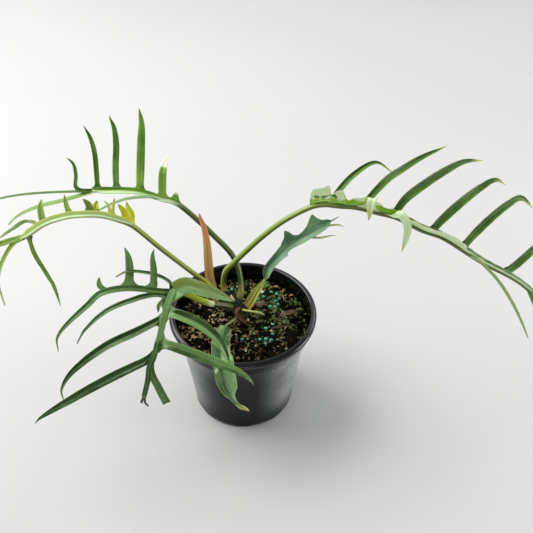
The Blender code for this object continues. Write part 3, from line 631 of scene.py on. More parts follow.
def stem_skin():
    """Dull green-brown bark-like skin with darker rings at the scars and pale fine cracks."""
    finish = Finish("stem_skin", 0.7, Specular_IOR_Level=0.2)
    cloud = finish.noise(finish.place(), 160.0, 5.0)
    crack = finish.noise(finish.place((600.0, 600.0, 150.0)), 1.0, 5.0, 0.7)
    values = {"Vector": finish.place((0.0, 0.0, 1.0)), "Scale": 60.0, "Distortion": 6.0}
    ring = finish.node("TexWave", values).outputs["Fac"]
    colour = finish.mix(finish.between(cloud, 0.35, 0.65), (12, 18, 12), (56, 62, 36))
    colour = finish.mix(finish.between(ring, 0.75, 0.95, (0.0, 0.6)), colour, (58, 44, 30))
    colour = finish.mix(finish.between(crack, 0.6, 0.75, (0.0, 0.5)), colour, (130, 122, 92))
    finish.set("Base Color", colour)
    finish.bump(crack, 1.0, 0.5)
    return finish


def root_skin():
    """Fresh aerial root: yellow-green, painted lighter on top as painted light, with a browned tip."""
    finish = Finish("root_skin", 0.45, Subsurface_Weight=0.15, Subsurface_Scale=0.001)
    upness, _, _ = finish.marks("blade")
    tip, _, _ = finish.marks("extra")
    cloud = finish.noise(finish.place(), 300.0, 4.0)
    # Painted light: the upper side is lighter than the lower.
    colour = finish.mix(finish.between(upness, -0.6, 0.7), (120, 124, 44), (206, 208, 112))
    colour = finish.mix(finish.between(cloud, 0.4, 0.7, (0.0, 0.5)), colour, (168, 172, 76))
    colour = finish.mix(finish.between(tip, 0.3, 2.5, (0.8, 0.0)), colour, (128, 96, 50))
    finish.set("Base Color", colour)
    finish.bump(cloud, 0.3, 0.2)
    return finish


def bud_skin():
    """Cream bud sheath, greener at its foot."""
    finish = Finish("bud_skin", 0.4)
    tip, _, _ = finish.marks("extra")
    streak = finish.noise(finish.place((500.0, 500.0, 80.0)), 1.0, 3.0)
    colour = finish.mix(finish.between(tip, 2.0, 6.0), (232, 208, 172), (120, 122, 70))
    colour = finish.mix(finish.between(streak, 0.5, 0.7, (0.0, 0.4)), colour, (186, 150, 110))
    finish.set("Base Color", colour)
    finish.bump(streak, 0.3, 0.1)
    return finish


def stem_knobs(along, angle):
    """Swollen nodes with a scar ring at each, and a little unevenness between."""
    node = math.exp(-((along % SCAR_SPACING - SCAR_SPACING / 2.0) / 1.1) ** 2)
    return 1.0 + 0.09 * node + 0.07 * math.sin(3.0 * angle + along * 0.5)


def short_stem():
    """The stem, its stub root and its bud point."""
    bm = bmesh.new()
    points, _ = smooth_path(STEM_ROUTE, 90)
    limb(bm, points, lambda along: read_off(STEM_THICK, along) * 0.97, around=40, knobs=stem_knobs)
    points, _ = smooth_path(AERIAL_ROOT, 50)
    limb(bm, points, lambda along: read_off(ROOT_THICK, along), slot=1)
    points, _ = smooth_path(BUD_ROUTE, 20)
    limb(bm, points, lambda along: read_off(BUD_THICK, along), slot=2)
    bmesh.ops.recalc_face_normals(bm, faces=bm.faces)
    add_piece("short_stem", bm, [stem_skin(), root_skin(), bud_skin()], "stem_skin", "stem")


short_stem()

# Right leaf: the largest, a long stalk that arches over and a midrib with a comb of narrow lobes on
# its far side. Its near side has curled up, so it shows the pale underside and a brown lower rib, with
# painted light through the foot of the curl, painted shade in its hollow places and painted sheen.

BLADE_THICK = 0.7
END_THINNING = 1.2
RIDGE = 0.5
RIDGE_WIDTH = 0.8
# Where along a blade the second pair of painted light and shade tones takes over.
SECOND_TONES = (0.27, 0.38)
LOBE_COLUMNS = 12
ROW_LENGTH = 0.8
LOBE_ROOT = 2.6
LOBE_STEEP = 1.3
LOBE_FLAT = 0.4
LOBE_WAVE = 0.06
IN_LINE = 0.86
WING_COLUMNS = 10
WING_DROP = 1.1
WING_RIPPLE = 11.0
WING_TIP = 30.0
STALK_GROOVE = 0.12
STALK_ROW = 2.5
STALK_FOOT = 14.0
RIB_SAMPLES = 600

# Ways that a lobe can face. One that is EDGE_ON shows little but its edge to the camera.
EDGE_ON = Vector((0.0, 0.67, 0.74))
TO_FRONT = Vector((0.0, -0.75, 0.66))


class Rib:
    """The route of a leaf's stalk and midrib, or of a branch of it, that lobes grow from."""

    def __init__(self, stalk, midrib):
        self.points, self.length = smooth_path(list(stalk) + list(midrib), RIB_SAMPLES)
        self.directions = tangents(self.points)
        joint = Vector(stalk[-1])
        nearest = min(range(RIB_SAMPLES), key=lambda i: (self.points[i] - joint).length)
        self.joint = nearest / (RIB_SAMPLES - 1) * self.length

    def at(self, along):
        """Point and direction, in mm along from the joint of stalk and blade."""
        index = round((self.joint + along) / self.length * (RIB_SAMPLES - 1))
        index = max(0, min(RIB_SAMPLES - 1, index))
        return self.points[index], self.directions[index]

    def radius(self, thick, along):
        """Radius at a distance from the foot of the stalk."""
        foot = min(STALK_FOOT, self.joint * 0.5)
        return read_off(list(zip((0.0, foot, self.joint, self.length), thick)), along)


def closing(part, length):
    """Thins a sheet to nothing over its last millimetre at either end."""
    end = min(part, 1.0 - part) * length
    return math.sqrt(min(end / END_THINNING, 1.0))


def half_section(half, s, first, last):
    """Reach and lift at s on half a blade whose slope turns from first to last degrees."""
    start = math.radians(first)
    change = math.radians(last) - start
    if abs(change) < 0.01:
        out, lift = abs(s) * math.cos(start), abs(s) * math.sin(start)
    else:
        slope = start + change * abs(s)
        out = (math.sin(slope) - math.sin(start)) / change
        lift = (math.cos(start) - math.cos(slope)) / change
    return math.copysign(out * half, s), lift * half


def sheet(bm, spine, sideways, normals, left, right, bow, base=None, tones=(0.5, 0.5), bleach=0.0,
          columns=LOBE_COLUMNS, slots=(0, 1), beyond=0.0):
    """A thin closed blade. bow(s, half, part) bends it, base(point, out, row) lays its foot on the rib,
    and the leaf's tip lies so many mm beyond its end. tones are those of its left and right half, and
    a second pair of them takes over a third of the way along. Where the halves' tones differ, they
    paint light on one half and shade on the other."""
    rows = len(spine) - 1
    length = sum((there - here).length for here, there in zip(spine, spine[1:]))

    def place(turn, part):
        row = round(part * rows)
        top = turn <= 0.5
        step = turn * 2.0 if top else 2.0 - turn * 2.0
        s = -math.cos(math.pi * step)
        half = left[row] if s < 0.0 else right[row]
        out, lift = bow(s, half, part)
        point = spine[row] + sideways[row] * out + normals[row] * lift
        if base:
            point = base(point, out, row)
        thin = closing(part, length) * math.sqrt(max(0.0, 1.0 - s ** 4))
        near_rib = math.exp(-(s * half / RIDGE_WIDTH) ** 2)
        skin = BLADE_THICK / 2.0 + (0.0 if top else RIDGE * near_rib * (1.0 - 0.6 * part))
        point = point + normals[row] * (skin * thin if top else -skin * thin)
        reach = abs(s) * half
        # Painted light and shade: the tone of each half, changing a third of the way along.
        turned = smooth_step(part, *SECOND_TONES)
        left_tone = tones[0] + (tones[-2] - tones[0]) * turned
        right_tone = tones[1] + (tones[-1] - tones[1]) * turned
        tone = left_tone + (right_tone - left_tone) * smooth_step(s, -0.15, 0.15)
        return point, (reach, part * length, half - reach), ((1.0 - part) * length + beyond, tone, bleach)

    wrap(bm, 2 * columns, rows, place, lambda turn: slots[0] if turn < 0.5 else slots[1])


def face_normals(directions, sideways, hint):
    """Upper side of a blade at each row, on the side of the hint."""
    normals = [direction.cross(side) for direction, side in zip(directions, sideways)]
    most = max(normals, key=lambda normal: abs(normal.dot(hint)))
    return [-normal for normal in normals] if most.dot(hint) < 0.0 else normals


def across_blade(spine, hint):
    """Sideways directions and upper side of a blade along its spine."""
    directions = tangents(spine)
    sideways = across_path(directions, hint)
    return sideways, face_normals(directions, sideways, hint)


def smooth_step(value, low, high):
    """From 0 at low to 1 at high, smoothly."""
    part = max(0.0, min(1.0, (value - low) / (high - low)))
    return part * part * (3.0 - 2.0 * part)


def lobe(bm, rib, draw, along, width, points, face=None, fold=30.0, end="point", bleach=0.0, web=3.0,
         taper=4.0, tone=None, shade_split=0.0, beyond=0.0):
    """One lobe. It leaves the rib through rounded webs, unless it runs on in line with the rib, is
    folded along its midrib and tapers. Its two halves differ in tone as painted light on one and painted
    shade on the other."""
    start, rib_direction = rib.at(along)
    _, length = smooth_path([start] + list(points), 2)
    rows = max(10, round(length / ROW_LENGTH))
    spine, _ = smooth_path([start] + list(points), rows + 1)
    directions = tangents(spine)
    in_line = abs(directions[1].dot(rib_direction)) > IN_LINE
    if face is None:
        sideways = across_path(directions, rib_direction.cross(directions[0]))
    else:
        sideways = across_path(directions, face, most_level(directions, face))
    if sideways[0].dot(rib_direction) < 0.0:
        sideways = [-side for side in sideways]
    normals = face_normals(directions, sideways, UP if face is None else face)
    half = []
    for row in range(rows + 1):
        part = row / rows
        body = width / 2.0 * (1.0 - part ** taper) * (0.84 + 0.16 * min(part / 0.25, 1.0))
        if end == "blunt":
            body = width / 2.0 * (0.85 + 0.15 * part)
        corner = 1.0 - max(0.0, min(1.0, (part * length - LOBE_ROOT) / web))
        fillet = 0.0 if in_line else web * (1.0 - math.sqrt(1.0 - 0.98 * corner ** 2))
        half.append(body + fillet if row < rows or end == "blunt" else 0.0)
    phase = draw.uniform(0.0, math.tau)
    ripple = draw.uniform(9.0, 14.0)
    hold = [1.0 - smooth_step(row / rows * length, LOBE_ROOT * 0.7, LOBE_ROOT + web)
            for row in range(rows + 1)]

    def bow(s, half_here, part):
        out, lift = half_section(half_here, s, fold * LOBE_STEEP, fold * LOBE_FLAT)
        free = 1.0 if in_line else 1.0 - hold[round(part * rows)]
        waviness = LOBE_WAVE * s * s * math.sin(phase + part * length / ripple * math.tau)
        return out, (lift + waviness) * free

    def base(point, out, row):
        foot = rib.at(along + out)[0] + spine[row] - spine[0]
        return point.lerp(foot, hold[row])

    drawn = draw.uniform(0.25, 0.75)
    middle = drawn if tone is None else tone
    # Painted light and shade: the tone of one half is raised and of the other lowered.
    sheet(bm, spine, sideways, normals, half, half, bow, None if in_line else base,
          (middle - shade_split / 2.0, middle + shade_split / 2.0), bleach, beyond=beyond)


def wing(bm, rib, draw, sides, slopes, tones, hint=UP, ripple=0.04, step=1.5):
    """A stretch of the narrow blade along both sides of the midrib, whose slopes bend its sides up.
    sides give its place along the rib and how far it reaches to the left and the right."""
    places = [side[0] for side in sides]
    rows = round((places[-1] - places[0]) / step)
    where = [places[0] + (places[-1] - places[0]) * row / rows for row in range(rows + 1)]
    spine = [rib.at(along)[0] for along in where]
    sideways, normals = across_blade(spine, hint)
    spine = [point + normal * WING_DROP for point, normal in zip(spine, normals)]
    left = [read_off([(side[0], side[1]) for side in sides], along) for along in where]
    right = [read_off([(side[0], side[2]) for side in sides], along) for along in where]
    phase = draw.uniform(0.0, math.tau)

    def bow(s, half, part):
        first, last = slopes[0] if s < 0.0 else slopes[1]
        out, lift = half_section(half, s, first, last)
        wave = ripple * half * s * s * math.sin(phase + part * rows * step / WING_RIPPLE * math.tau)
        return out, lift + wave

    sheet(bm, spine, sideways, normals, left, right, bow, tones=tones, columns=WING_COLUMNS,
          beyond=WING_TIP)


def leaf_skin(name, deep, light, rib_line, margin, tip, roughness=0.4, tip_reach=9.0, gloss=0.16,
              lime=(176, 180, 40), pale=(184, 212, 166), brown=(96, 66, 36)):
    """Upper or lower skin of a blade: mottled green with fine long veins, a pale line down the
    midrib, a thin margin, and a tip that yellows and then browns.
    A tone from 0 to 1 goes from deep to light, near 2 it is lime, and from 2.4 it is pale, partly the
    paler underside and partly painted sheen. From 2.6 it is a curled flap, lime at its foot as painted
    light shining through, then pale with deep hollow places of painted shade, and pale all over further
    out. Bleach of 1 turns the tip white. Below 0 it dries the whole lobe, to tan at -0.5, to brown at -1."""
    finish = Finish(name, roughness, Specular_IOR_Level=0.36, Specular_Tint=(0.6, 1.0, 0.4, 1.0),
                    Coat_Weight=gloss, Coat_Roughness=0.2, Coat_IOR=1.45, Subsurface_Weight=0.3,
                    Subsurface_Radius=(0.7, 1.0, 0.2), Subsurface_Scale=0.0015)
    from_rib, along, from_edge = finish.marks("blade")
    to_tip, tone, bleach = finish.marks("extra")
    cloud = finish.noise(finish.place(), 55.0, 4.0)
    drawn_out = {"X": from_rib, "Y": finish.times(along, 0.09), "Z": finish.times(tone, 40.0)}
    veins = finish.noise(finish.node("CombineXYZ", drawn_out).outputs[0], 2.6, 3.0, 0.6)
    shade = finish.times(finish.plus(cloud, finish.times(tone, 0.5)), 0.75)
    colour = finish.mix(finish.between(shade, 0.3, 0.8), deep, light)
    colour = finish.mix(finish.between(tone, 1.4, 1.9), colour, lime)
    # Painted shade in the hollow places of a curled flap, and its pale share, partly painted sheen.
    hollow_shade_noise = finish.noise(finish.place(), 210.0, 1.0)
    flap = finish.between(tone, 2.5, 2.6)
    no_flap = finish.reckon("SUBTRACT", 1.0, flap)
    past_foot = finish.reckon("MAXIMUM", finish.between(from_rib, 3.8, 5.0), no_flap)
    inner_flap = finish.times(finish.between(from_rib, 7.6, 6.4), flap)
    dark = finish.times(finish.between(hollow_shade_noise, 0.52, 0.57), inner_flap)
    pale_and_sheen = finish.times(finish.between(tone, 2.2, 2.4), finish.reckon("SUBTRACT", 1.0, dark))
    colour = finish.mix(finish.times(dark, past_foot), colour, deep)
    colour = finish.mix(finish.times(pale_and_sheen, past_foot), colour, pale)
    colour = finish.mix(finish.between(veins, 0.5, 0.72, (0.0, 0.35)), colour, light)
    colour = finish.mix(finish.between(from_rib, 0.15, 0.5, (0.35, 0.0)), colour, rib_line)
    clear_of_foot = finish.between(along, 3.0, 7.0)
    edge_line = finish.between(from_edge, 0.1, 0.4, (0.7, 0.0))
    yellowing = finish.between(to_tip, 1.0, tip_reach, (0.9, 0.0))
    browning = finish.between(to_tip, 0.2 * tip_reach, 0.04 * tip_reach)
    for amount, shade in ((edge_line, margin), (yellowing, tip), (browning, brown)):
        colour = finish.mix(finish.times(amount, clear_of_foot), colour, shade)
    ragged_tip = finish.plus(to_tip, finish.times(cloud, 3.0))
    white = finish.times(finish.between(ragged_tip, 9.0, 12.0, (1.0, 0.0)), bleach)
    colour = finish.mix(white, colour, (238, 236, 214))
    colour = finish.mix(finish.between(bleach, -0.4, -0.1, (0.9, 0.0)), colour, (172, 162, 108))
    colour = finish.mix(finish.between(bleach, -0.9, -0.6, (1.0, 0.0)), colour, (74, 54, 34))
    finish.set("Base Color", colour)
    finish.set("Roughness", finish.between(veins, 0.3, 0.8, (roughness - 0.05, roughness + 0.1)))
    finish.bump(veins, 0.3, 0.2)
    return finish


def stalk_skin(name, joint, top, middle, under, foot, rib_top, rib_under, foot_reach=(3.0, 17.0),
               cream_band=None):
    """Skin of a stalk and its midrib: lighter along the upper side and browner beneath, partly its own
    colour and partly painted light and shade, in another colour at its foot, and past the joint, in mm
    from the foot, in those of the midrib. Between the two places given for the cream band, the skin
    turns to a ragged cream band."""
    finish = Finish(name, 0.36, Specular_IOR_Level=0.3, Coat_Weight=0.25, Coat_Roughness=0.22,
                    Subsurface_Weight=0.15, Subsurface_Radius=(0.7, 1.0, 0.2), Subsurface_Scale=0.0012)
    upness, along, side = finish.marks("blade")
    drawn_out = {"X": upness, "Y": finish.times(along, 0.03), "Z": side}
    streaks = finish.noise(finish.node("CombineXYZ", drawn_out).outputs[0], 3.2, 4.0, 0.6)
    cloud = finish.noise(finish.place(), 70.0, 3.0)
    blade = finish.between(along, joint - 4.0, joint + 8.0)
    # Painted light and shade over a browner underside: lighter on top and darker beneath, on stalk and
    # midrib.
    colour = finish.mix(finish.between(upness, -0.5, 0.55), under, middle)
    colour = finish.mix(finish.between(upness, 0.6, 0.95), colour, top)
    colour = finish.mix(finish.between(streaks, 0.5, 0.75, (0.0, 0.35)), colour, top)
    colour = finish.mix(finish.between(along, *foot_reach, (0.9, 0.0)), colour, foot)
    if cream_band:
        ragged = finish.plus(along, finish.times(streaks, 6.0))
        begun = finish.between(ragged, cream_band[0], cream_band[0] + 1.0)
        not_over = finish.between(ragged, cream_band[1], cream_band[1] + 3.0, (1.0, 0.0))
        colour = finish.mix(finish.times(begun, not_over), colour, (236, 236, 196))
    midrib = finish.mix(finish.between(upness, -0.4, 0.3), rib_under, rib_top)
    colour = finish.mix(blade, colour, midrib)
    colour = finish.mix(finish.between(cloud, 0.5, 0.75, (0.0, 0.25)), colour, under)
    finish.set("Base Color", colour)
    finish.bump(streaks, 0.25, 0.15)
    return finish


def frond(name, sizes, seed, finishes, slot, extras=None):
    """A whole leaf: stalk and midrib, the wing along it, and its lobes. A lobe is given as its place
    along the midrib, its width, the points that it runs through, and what it has of its own."""
    draw = random.Random(seed)
    bm = bmesh.new()
    rib = Rib(sizes["stalk"], sizes["midrib"])
    rows = round(rib.length / STALK_ROW)
    points = [rib.at(rib.length * row / rows - rib.joint)[0] for row in range(rows + 1)]
    limb(bm, points, lambda along: rib.radius(sizes["thick"], along), slot=2, groove=STALK_GROOVE)
    for stretch in sizes["wings"]:
        wing(bm, rib, draw, **stretch)
    for along, width, points, options in sizes["lobes"]:
        lobe(bm, rib, draw, along, width, points, **{**sizes.get("usual", {}), **options})
    if extras:
        extras(bm, rib, draw)
    bmesh.ops.recalc_face_normals(bm, faces=bm.faces)
    add_piece(name, bm, finishes, slot, name)


LEAF_RIGHT = dict(
    stalk=[(-12, 15, 87), (-15, 19, 93), (-15, 20, 101), (-13, 20, 110), (-7, 19, 119), (1, 18, 130),
           (15, 16, 148), (29, 14, 163), (46, 13, 175)],
    midrib=[(55, 13, 177), (64, 13, 176), (76, 13, 175), (91, 14, 170), (105, 15, 165), (123, 16, 154),
            (139, 18, 146), (159, 20, 131), (173, 22, 120), (202, 25, 101), (221, 27, 84), (236, 29, 66)],
    thick=(2.7, 2.3, 1.8, 0.9),
    # The near side's tones paint its curl: lime light through its foot, shaded hollow places and pale sheen,
    # over the paler underside.
    wings=[
        dict(sides=[(0, 0.8, 1.0), (1.5, 1.5, 5.0), (3, 2.0, 10.0), (5, 2.3, 12.5), (8, 2.6, 14.2),
                    (10.4, 2.8, 15.0), (11.2, 2.8, 13.0), (12, 2.9, 7.0), (13.2, 3.0, 7.4),
                    (15.5, 3.0, 11.0), (18.5, 3.0, 13.5), (20.5, 3.0, 12.0), (22, 3.0, 8.0),
                    (23.5, 3.1, 4.2), (25, 3.1, 3.6), (28, 3.2, 6.5), (31, 3.3, 8.0), (37, 3.4, 8.5),
                    (43, 3.4, 7.5), (48, 3.4, 4.5), (55, 3.4, 5.0), (60, 3.4, 3.5), (63, 1.0, 1.0)],
             slopes=((42.0, 30.0), (60.0, 128.0)), hint=Vector((0.0, 0.12, 0.99)), tones=(0.2, 2.7),
             ripple=0.1, step=0.8),
        dict(sides=[(60, 1.0, 1.0), (63, 3.5, 3.0), (70, 3.6, 6.0), (92, 3.7, 8.0), (108, 3.7, 8.5),
                    (117, 3.8, 7.0), (121, 3.8, 3.6), (160, 3.2, 3.0), (215, 2.4, 1.8), (222, 0.4, 0.4)],
             slopes=((42.0, 30.0), (52.0, 96.0)), tones=(0.2, 2.45)),
    ],
    usual=dict(web=3.2, fold=36.0, shade_split=0.8, tone=0.3),
    # Lobes toned 2.28 and over are lime and pale, partly their paler undersides and partly painted light and
    # sheen.
    lobes=[
        (12, 5.0, [(66, 24, 183), (76, 35, 187), (90, 44, 190), (103, 47, 181)],
         dict(shade_split=1.4, tone=0.5)),
        (33, 6.0, [(95, 28, 186), (108, 41, 187), (123, 52, 190), (143, 62, 194)],
         dict(shade_split=1.4, tone=0.5)),
        (39, 7, [(85, 9, 184), (84, 3, 189), (83, -1, 185), (82.5, -3, 176.5)],
         dict(fold=14.0, web=6.0, tone=2.5, shade_split=0.0)),
        (57, 7.5, [(109, 23, 175), (124, 35, 180), (141, 48, 183), (155, 57, 184), (170, 63, 181)], {}),
        (56, 6, [(104, 8, 174), (108, 4, 172), (110, 1, 166), (109.5, 0, 158), (108, -0.5, 148)],
         dict(face=Vector((0.2, 0.8, -0.5)), fold=20.0, web=4.0, tone=2.45, shade_split=0.0)),
        (89, 8, [(137, 25, 156), (152, 38, 162), (168, 51, 166), (180, 58, 168), (190, 60, 162)], {}),
        (119, 8.5, [(162, 28, 140), (177, 41, 147), (192, 53, 151), (203, 60, 151), (216, 62, 140)], {}),
        (131, 5.4, [(169, 14.5, 127), (183, 10, 114), (197, 7, 95), (208, 5, 77), (218, 5, 59)],
         dict(tone=2.28, shade_split=0.0, bleach=-0.23)),
        (165, 8, [(200, 31, 109), (210, 39, 112), (220, 47, 115), (232, 53, 112), (240, 55, 101)], {}),
        (195, 6, [(228, 18, 66), (234, 12, 50)], {}),
        (205, 6, [(236, 41, 78), (247, 48, 74), (253, 50, 62)], {}),
        (217, 6, [(238, 26, 50), (238, 24, 34)], dict(face=UP)),
    ])
leaf_top = leaf_skin("leaf_top", (20, 52, 2), (98, 138, 50), (140, 168, 112), (160, 172, 92),
                     (214, 200, 96), tip_reach=13.0, lime=(96, 156, 14), pale=(206, 224, 180))
leaf_under = leaf_skin("leaf_under", (122, 156, 74), (168, 194, 116), (190, 204, 160), (168, 172, 100),
                       (190, 186, 96), 0.42, lime=(96, 156, 14), pale=(206, 224, 180))
right_stalk = stalk_skin("right_stalk", 128.0, (146, 166, 74), (104, 124, 36), (62, 50, 20),
                         (206, 176, 100), (96, 110, 52), (84, 58, 30))
frond("leaf_right", LEAF_RIGHT, 31, [leaf_top, leaf_under, right_stalk], "leaf_green")

# Back left leaf: its far lobes stand straight up from an arched midrib and two have bleached tips.
# The near strip of the blade, pale with painted sheen, and three long end lobes lie nearly flat.

LEAF_BACK_LEFT = dict(
    stalk=[(-4, 12, 87), (-2, 17, 93), (-3, 25, 100), (-6, 31, 109), (-11, 34, 117), (-22, 38, 128),
           (-32, 41, 138), (-46, 45, 150)],
    midrib=[(-52, 46, 153), (-59, 47, 154), (-68, 49, 156), (-77, 50, 158), (-89, 51, 158),
            (-99, 52, 157), (-112, 52, 157)],
    thick=(2.7, 2.2, 2.0, 1.1),
    # The near half of the wing and the edge-on lobe are painted pale as sheen.
    wings=[dict(sides=[(0, 1.0, 1.0), (6, 2.6, 2.2), (30, 3.0, 2.4), (58, 3.2, 2.6), (66, 1.0, 1.0)],
                slopes=((2.0, 8.0), (46.0, 36.0)), tones=(2.45, 0.5))],
    usual=dict(web=3.4, taper=6.0),
    lobes=[
        (5, 4.6, [(-49, 53, 158)], dict(bleach=1.0, beyond=6.0)),
        (14, 6.0, [(-59, 57, 168), (-58, 64, 173), (-56, 69, 177)], dict(bleach=1.0, fold=12.0, tone=0.8)),
        (17, 5.6, [(-70, 44, 158), (-85, 36, 161), (-103, 28, 157)], dict(face=EDGE_ON, tone=2.4)),
        (31, 6.2, [(-76, 66, 169), (-76, 79, 182), (-76, 88, 192), (-78, 95, 201)],
         dict(fold=12.0, tone=0.4, shade_split=0.3)),
        (48, 5.2, [(-94, 66, 169), (-94, 77, 180), (-96, 86, 189), (-100, 92, 196)],
         dict(fold=12.0, tone=-0.1, shade_split=0.3)),
        (62, 4.0, [(-108, 64, 167), (-110, 74, 176), (-114, 83, 183), (-119, 88, 190)],
         dict(fold=16.0, tone=-0.4)),
        (65, 3.6, [(-121, 53, 158), (-122.5, 61, 163.5), (-125, 68, 169), (-131, 72.5, 172)],
         dict(face=TO_FRONT, tone=-0.6)),
        (62, 5.5, [(-131, 47, 151), (-143, 46, 148), (-154, 46, 144), (-167, 46, 137), (-176, 46, 129)],
         dict(face=Vector((0.0, 0.1, 1.0)), tone=0.9)),
        (60, 3.6, [(-134, 54, 154), (-147, 54, 153), (-163, 54, 151), (-179, 53, 148), (-196, 51, 142)],
         dict(face=EDGE_ON)),
    ])
back_top = leaf_skin("back_leaf_top", (54, 88, 12), (130, 166, 68), (66, 110, 52), (136, 176, 90),
                     (96, 130, 44), 0.38, 4.0)
back_under = leaf_skin("back_leaf_under", (150, 176, 120), (196, 208, 170), (208, 214, 180),
                       (176, 186, 130), (170, 176, 110), 0.4)
back_stalk = stalk_skin("back_stalk", 90.0, (88, 108, 32), (52, 72, 14), (30, 34, 8),
                        (150, 140, 66), (176, 194, 148), (92, 84, 44))
frond("leaf_back_left", LEAF_BACK_LEFT, 32, [back_top, back_under, back_stalk], "leaf_green")

# Front left leaf: the youngest of the long ones, yellow-green, with short forked lobes near the
# stalk that are still lime, a brown lower rib, and long slack lobes that hang at its end.

LEAF_FRONT_LEFT = dict(
    stalk=[(-14, 11, 90), (-18, 10, 97), (-27, 7, 111), (-35, 3, 123), (-48, -2, 142), (-57, -5, 155),
           (-70, -10, 175)],
    midrib=[(-78, -11, 180), (-88, -12, 184), (-97, -13, 185), (-107, -13, 184), (-117, -13, 181),
            (-126, -12, 176), (-136, -11, 168), (-145, -10, 161)],
    thick=(2.4, 1.8, 1.7, 1.2),
    # Both halves of the wing are painted pale, partly for their sheen.
    wings=[dict(sides=[(0, 0.8, 1.0), (6, 2.0, 2.4), (40, 2.4, 2.8), (74, 2.8, 3.0), (84, 1.0, 1.0)],
                slopes=((30.0, 10.0), (60.0, 44.0)), tones=(2.45, 2.3))],
    usual=dict(web=2.6),
    lobes=[
        (2, 5.5, [(-71, -6, 180), (-73, -4, 186), (-73, -3, 189)], dict(tone=1.85)),
        (5, 5.5, [(-75, -6, 181), (-79, -3, 187)], dict(tone=1.85)),
        (14, 2.6, [(-81, -7, 188), (-80, -4, 193)], dict(tone=2.28)),
        (15, 2.2, [(-84, -7, 188), (-87, -5, 191)], dict(tone=2.28)),
        (25, 6, [(-92, -8, 188), (-91, -5, 191)], dict(fold=45.0, tone=1.7)),
        (28, 6, [(-96, -8, 189), (-100, -6, 193)], dict(fold=45.0)),
        (40, 4, [(-110, -8, 188), (-112, -3, 194)], {}),
        (60, 6.5, [(-127, -7, 185), (-127, -3, 190)], {}),
        (64, 5, [(-139, -5, 173), (-150, -3, 165), (-163, -1, 155)], dict(face=EDGE_ON)),
        (76, 4.4, [(-136, -14, 156), (-134, -15, 149), (-130, -16, 137), (-127, -17, 126), (-126, -18, 108)],
         dict(face=Vector((-0.3, -0.7, 0.65)), tone=0.5, shade_split=0.7, web=1.5)),
        (80, 5, [(-149, -12, 159), (-156, -15, 150), (-161, -16, 140), (-165, -16, 128), (-166, -16, 106)],
         dict(face=UP, tone=0.8)),
        (80, 6, [(-160, -8, 155), (-174, -6, 147), (-186, -5, 135)], dict(face=UP)),
    ])
young_top = leaf_skin("young_leaf_top", (70, 104, 16), (146, 172, 84), (180, 196, 120), (180, 184, 80),
                      (140, 150, 50), 0.36, 3.0, lime=(214, 210, 44))
young_under = leaf_skin("young_leaf_under", (140, 170, 104), (186, 204, 150), (204, 214, 168),
                        (186, 186, 110), (170, 170, 90), 0.42, 3.0, lime=(214, 210, 44))
young_stalk = stalk_skin("young_stalk", 110.0, (156, 164, 50), (110, 120, 26), (70, 64, 18),
                         (216, 200, 70), (190, 204, 150), (126, 92, 56))
frond("leaf_front_left", LEAF_FRONT_LEFT, 33, [young_top, young_under, young_stalk], "young_green")

# Low left leaf: dark and fully grown, its stalk lies low over the rim and its blade hangs forward.
# One broad lobe points back over the pot, one lobe forks again, and the last two have snapped ends.

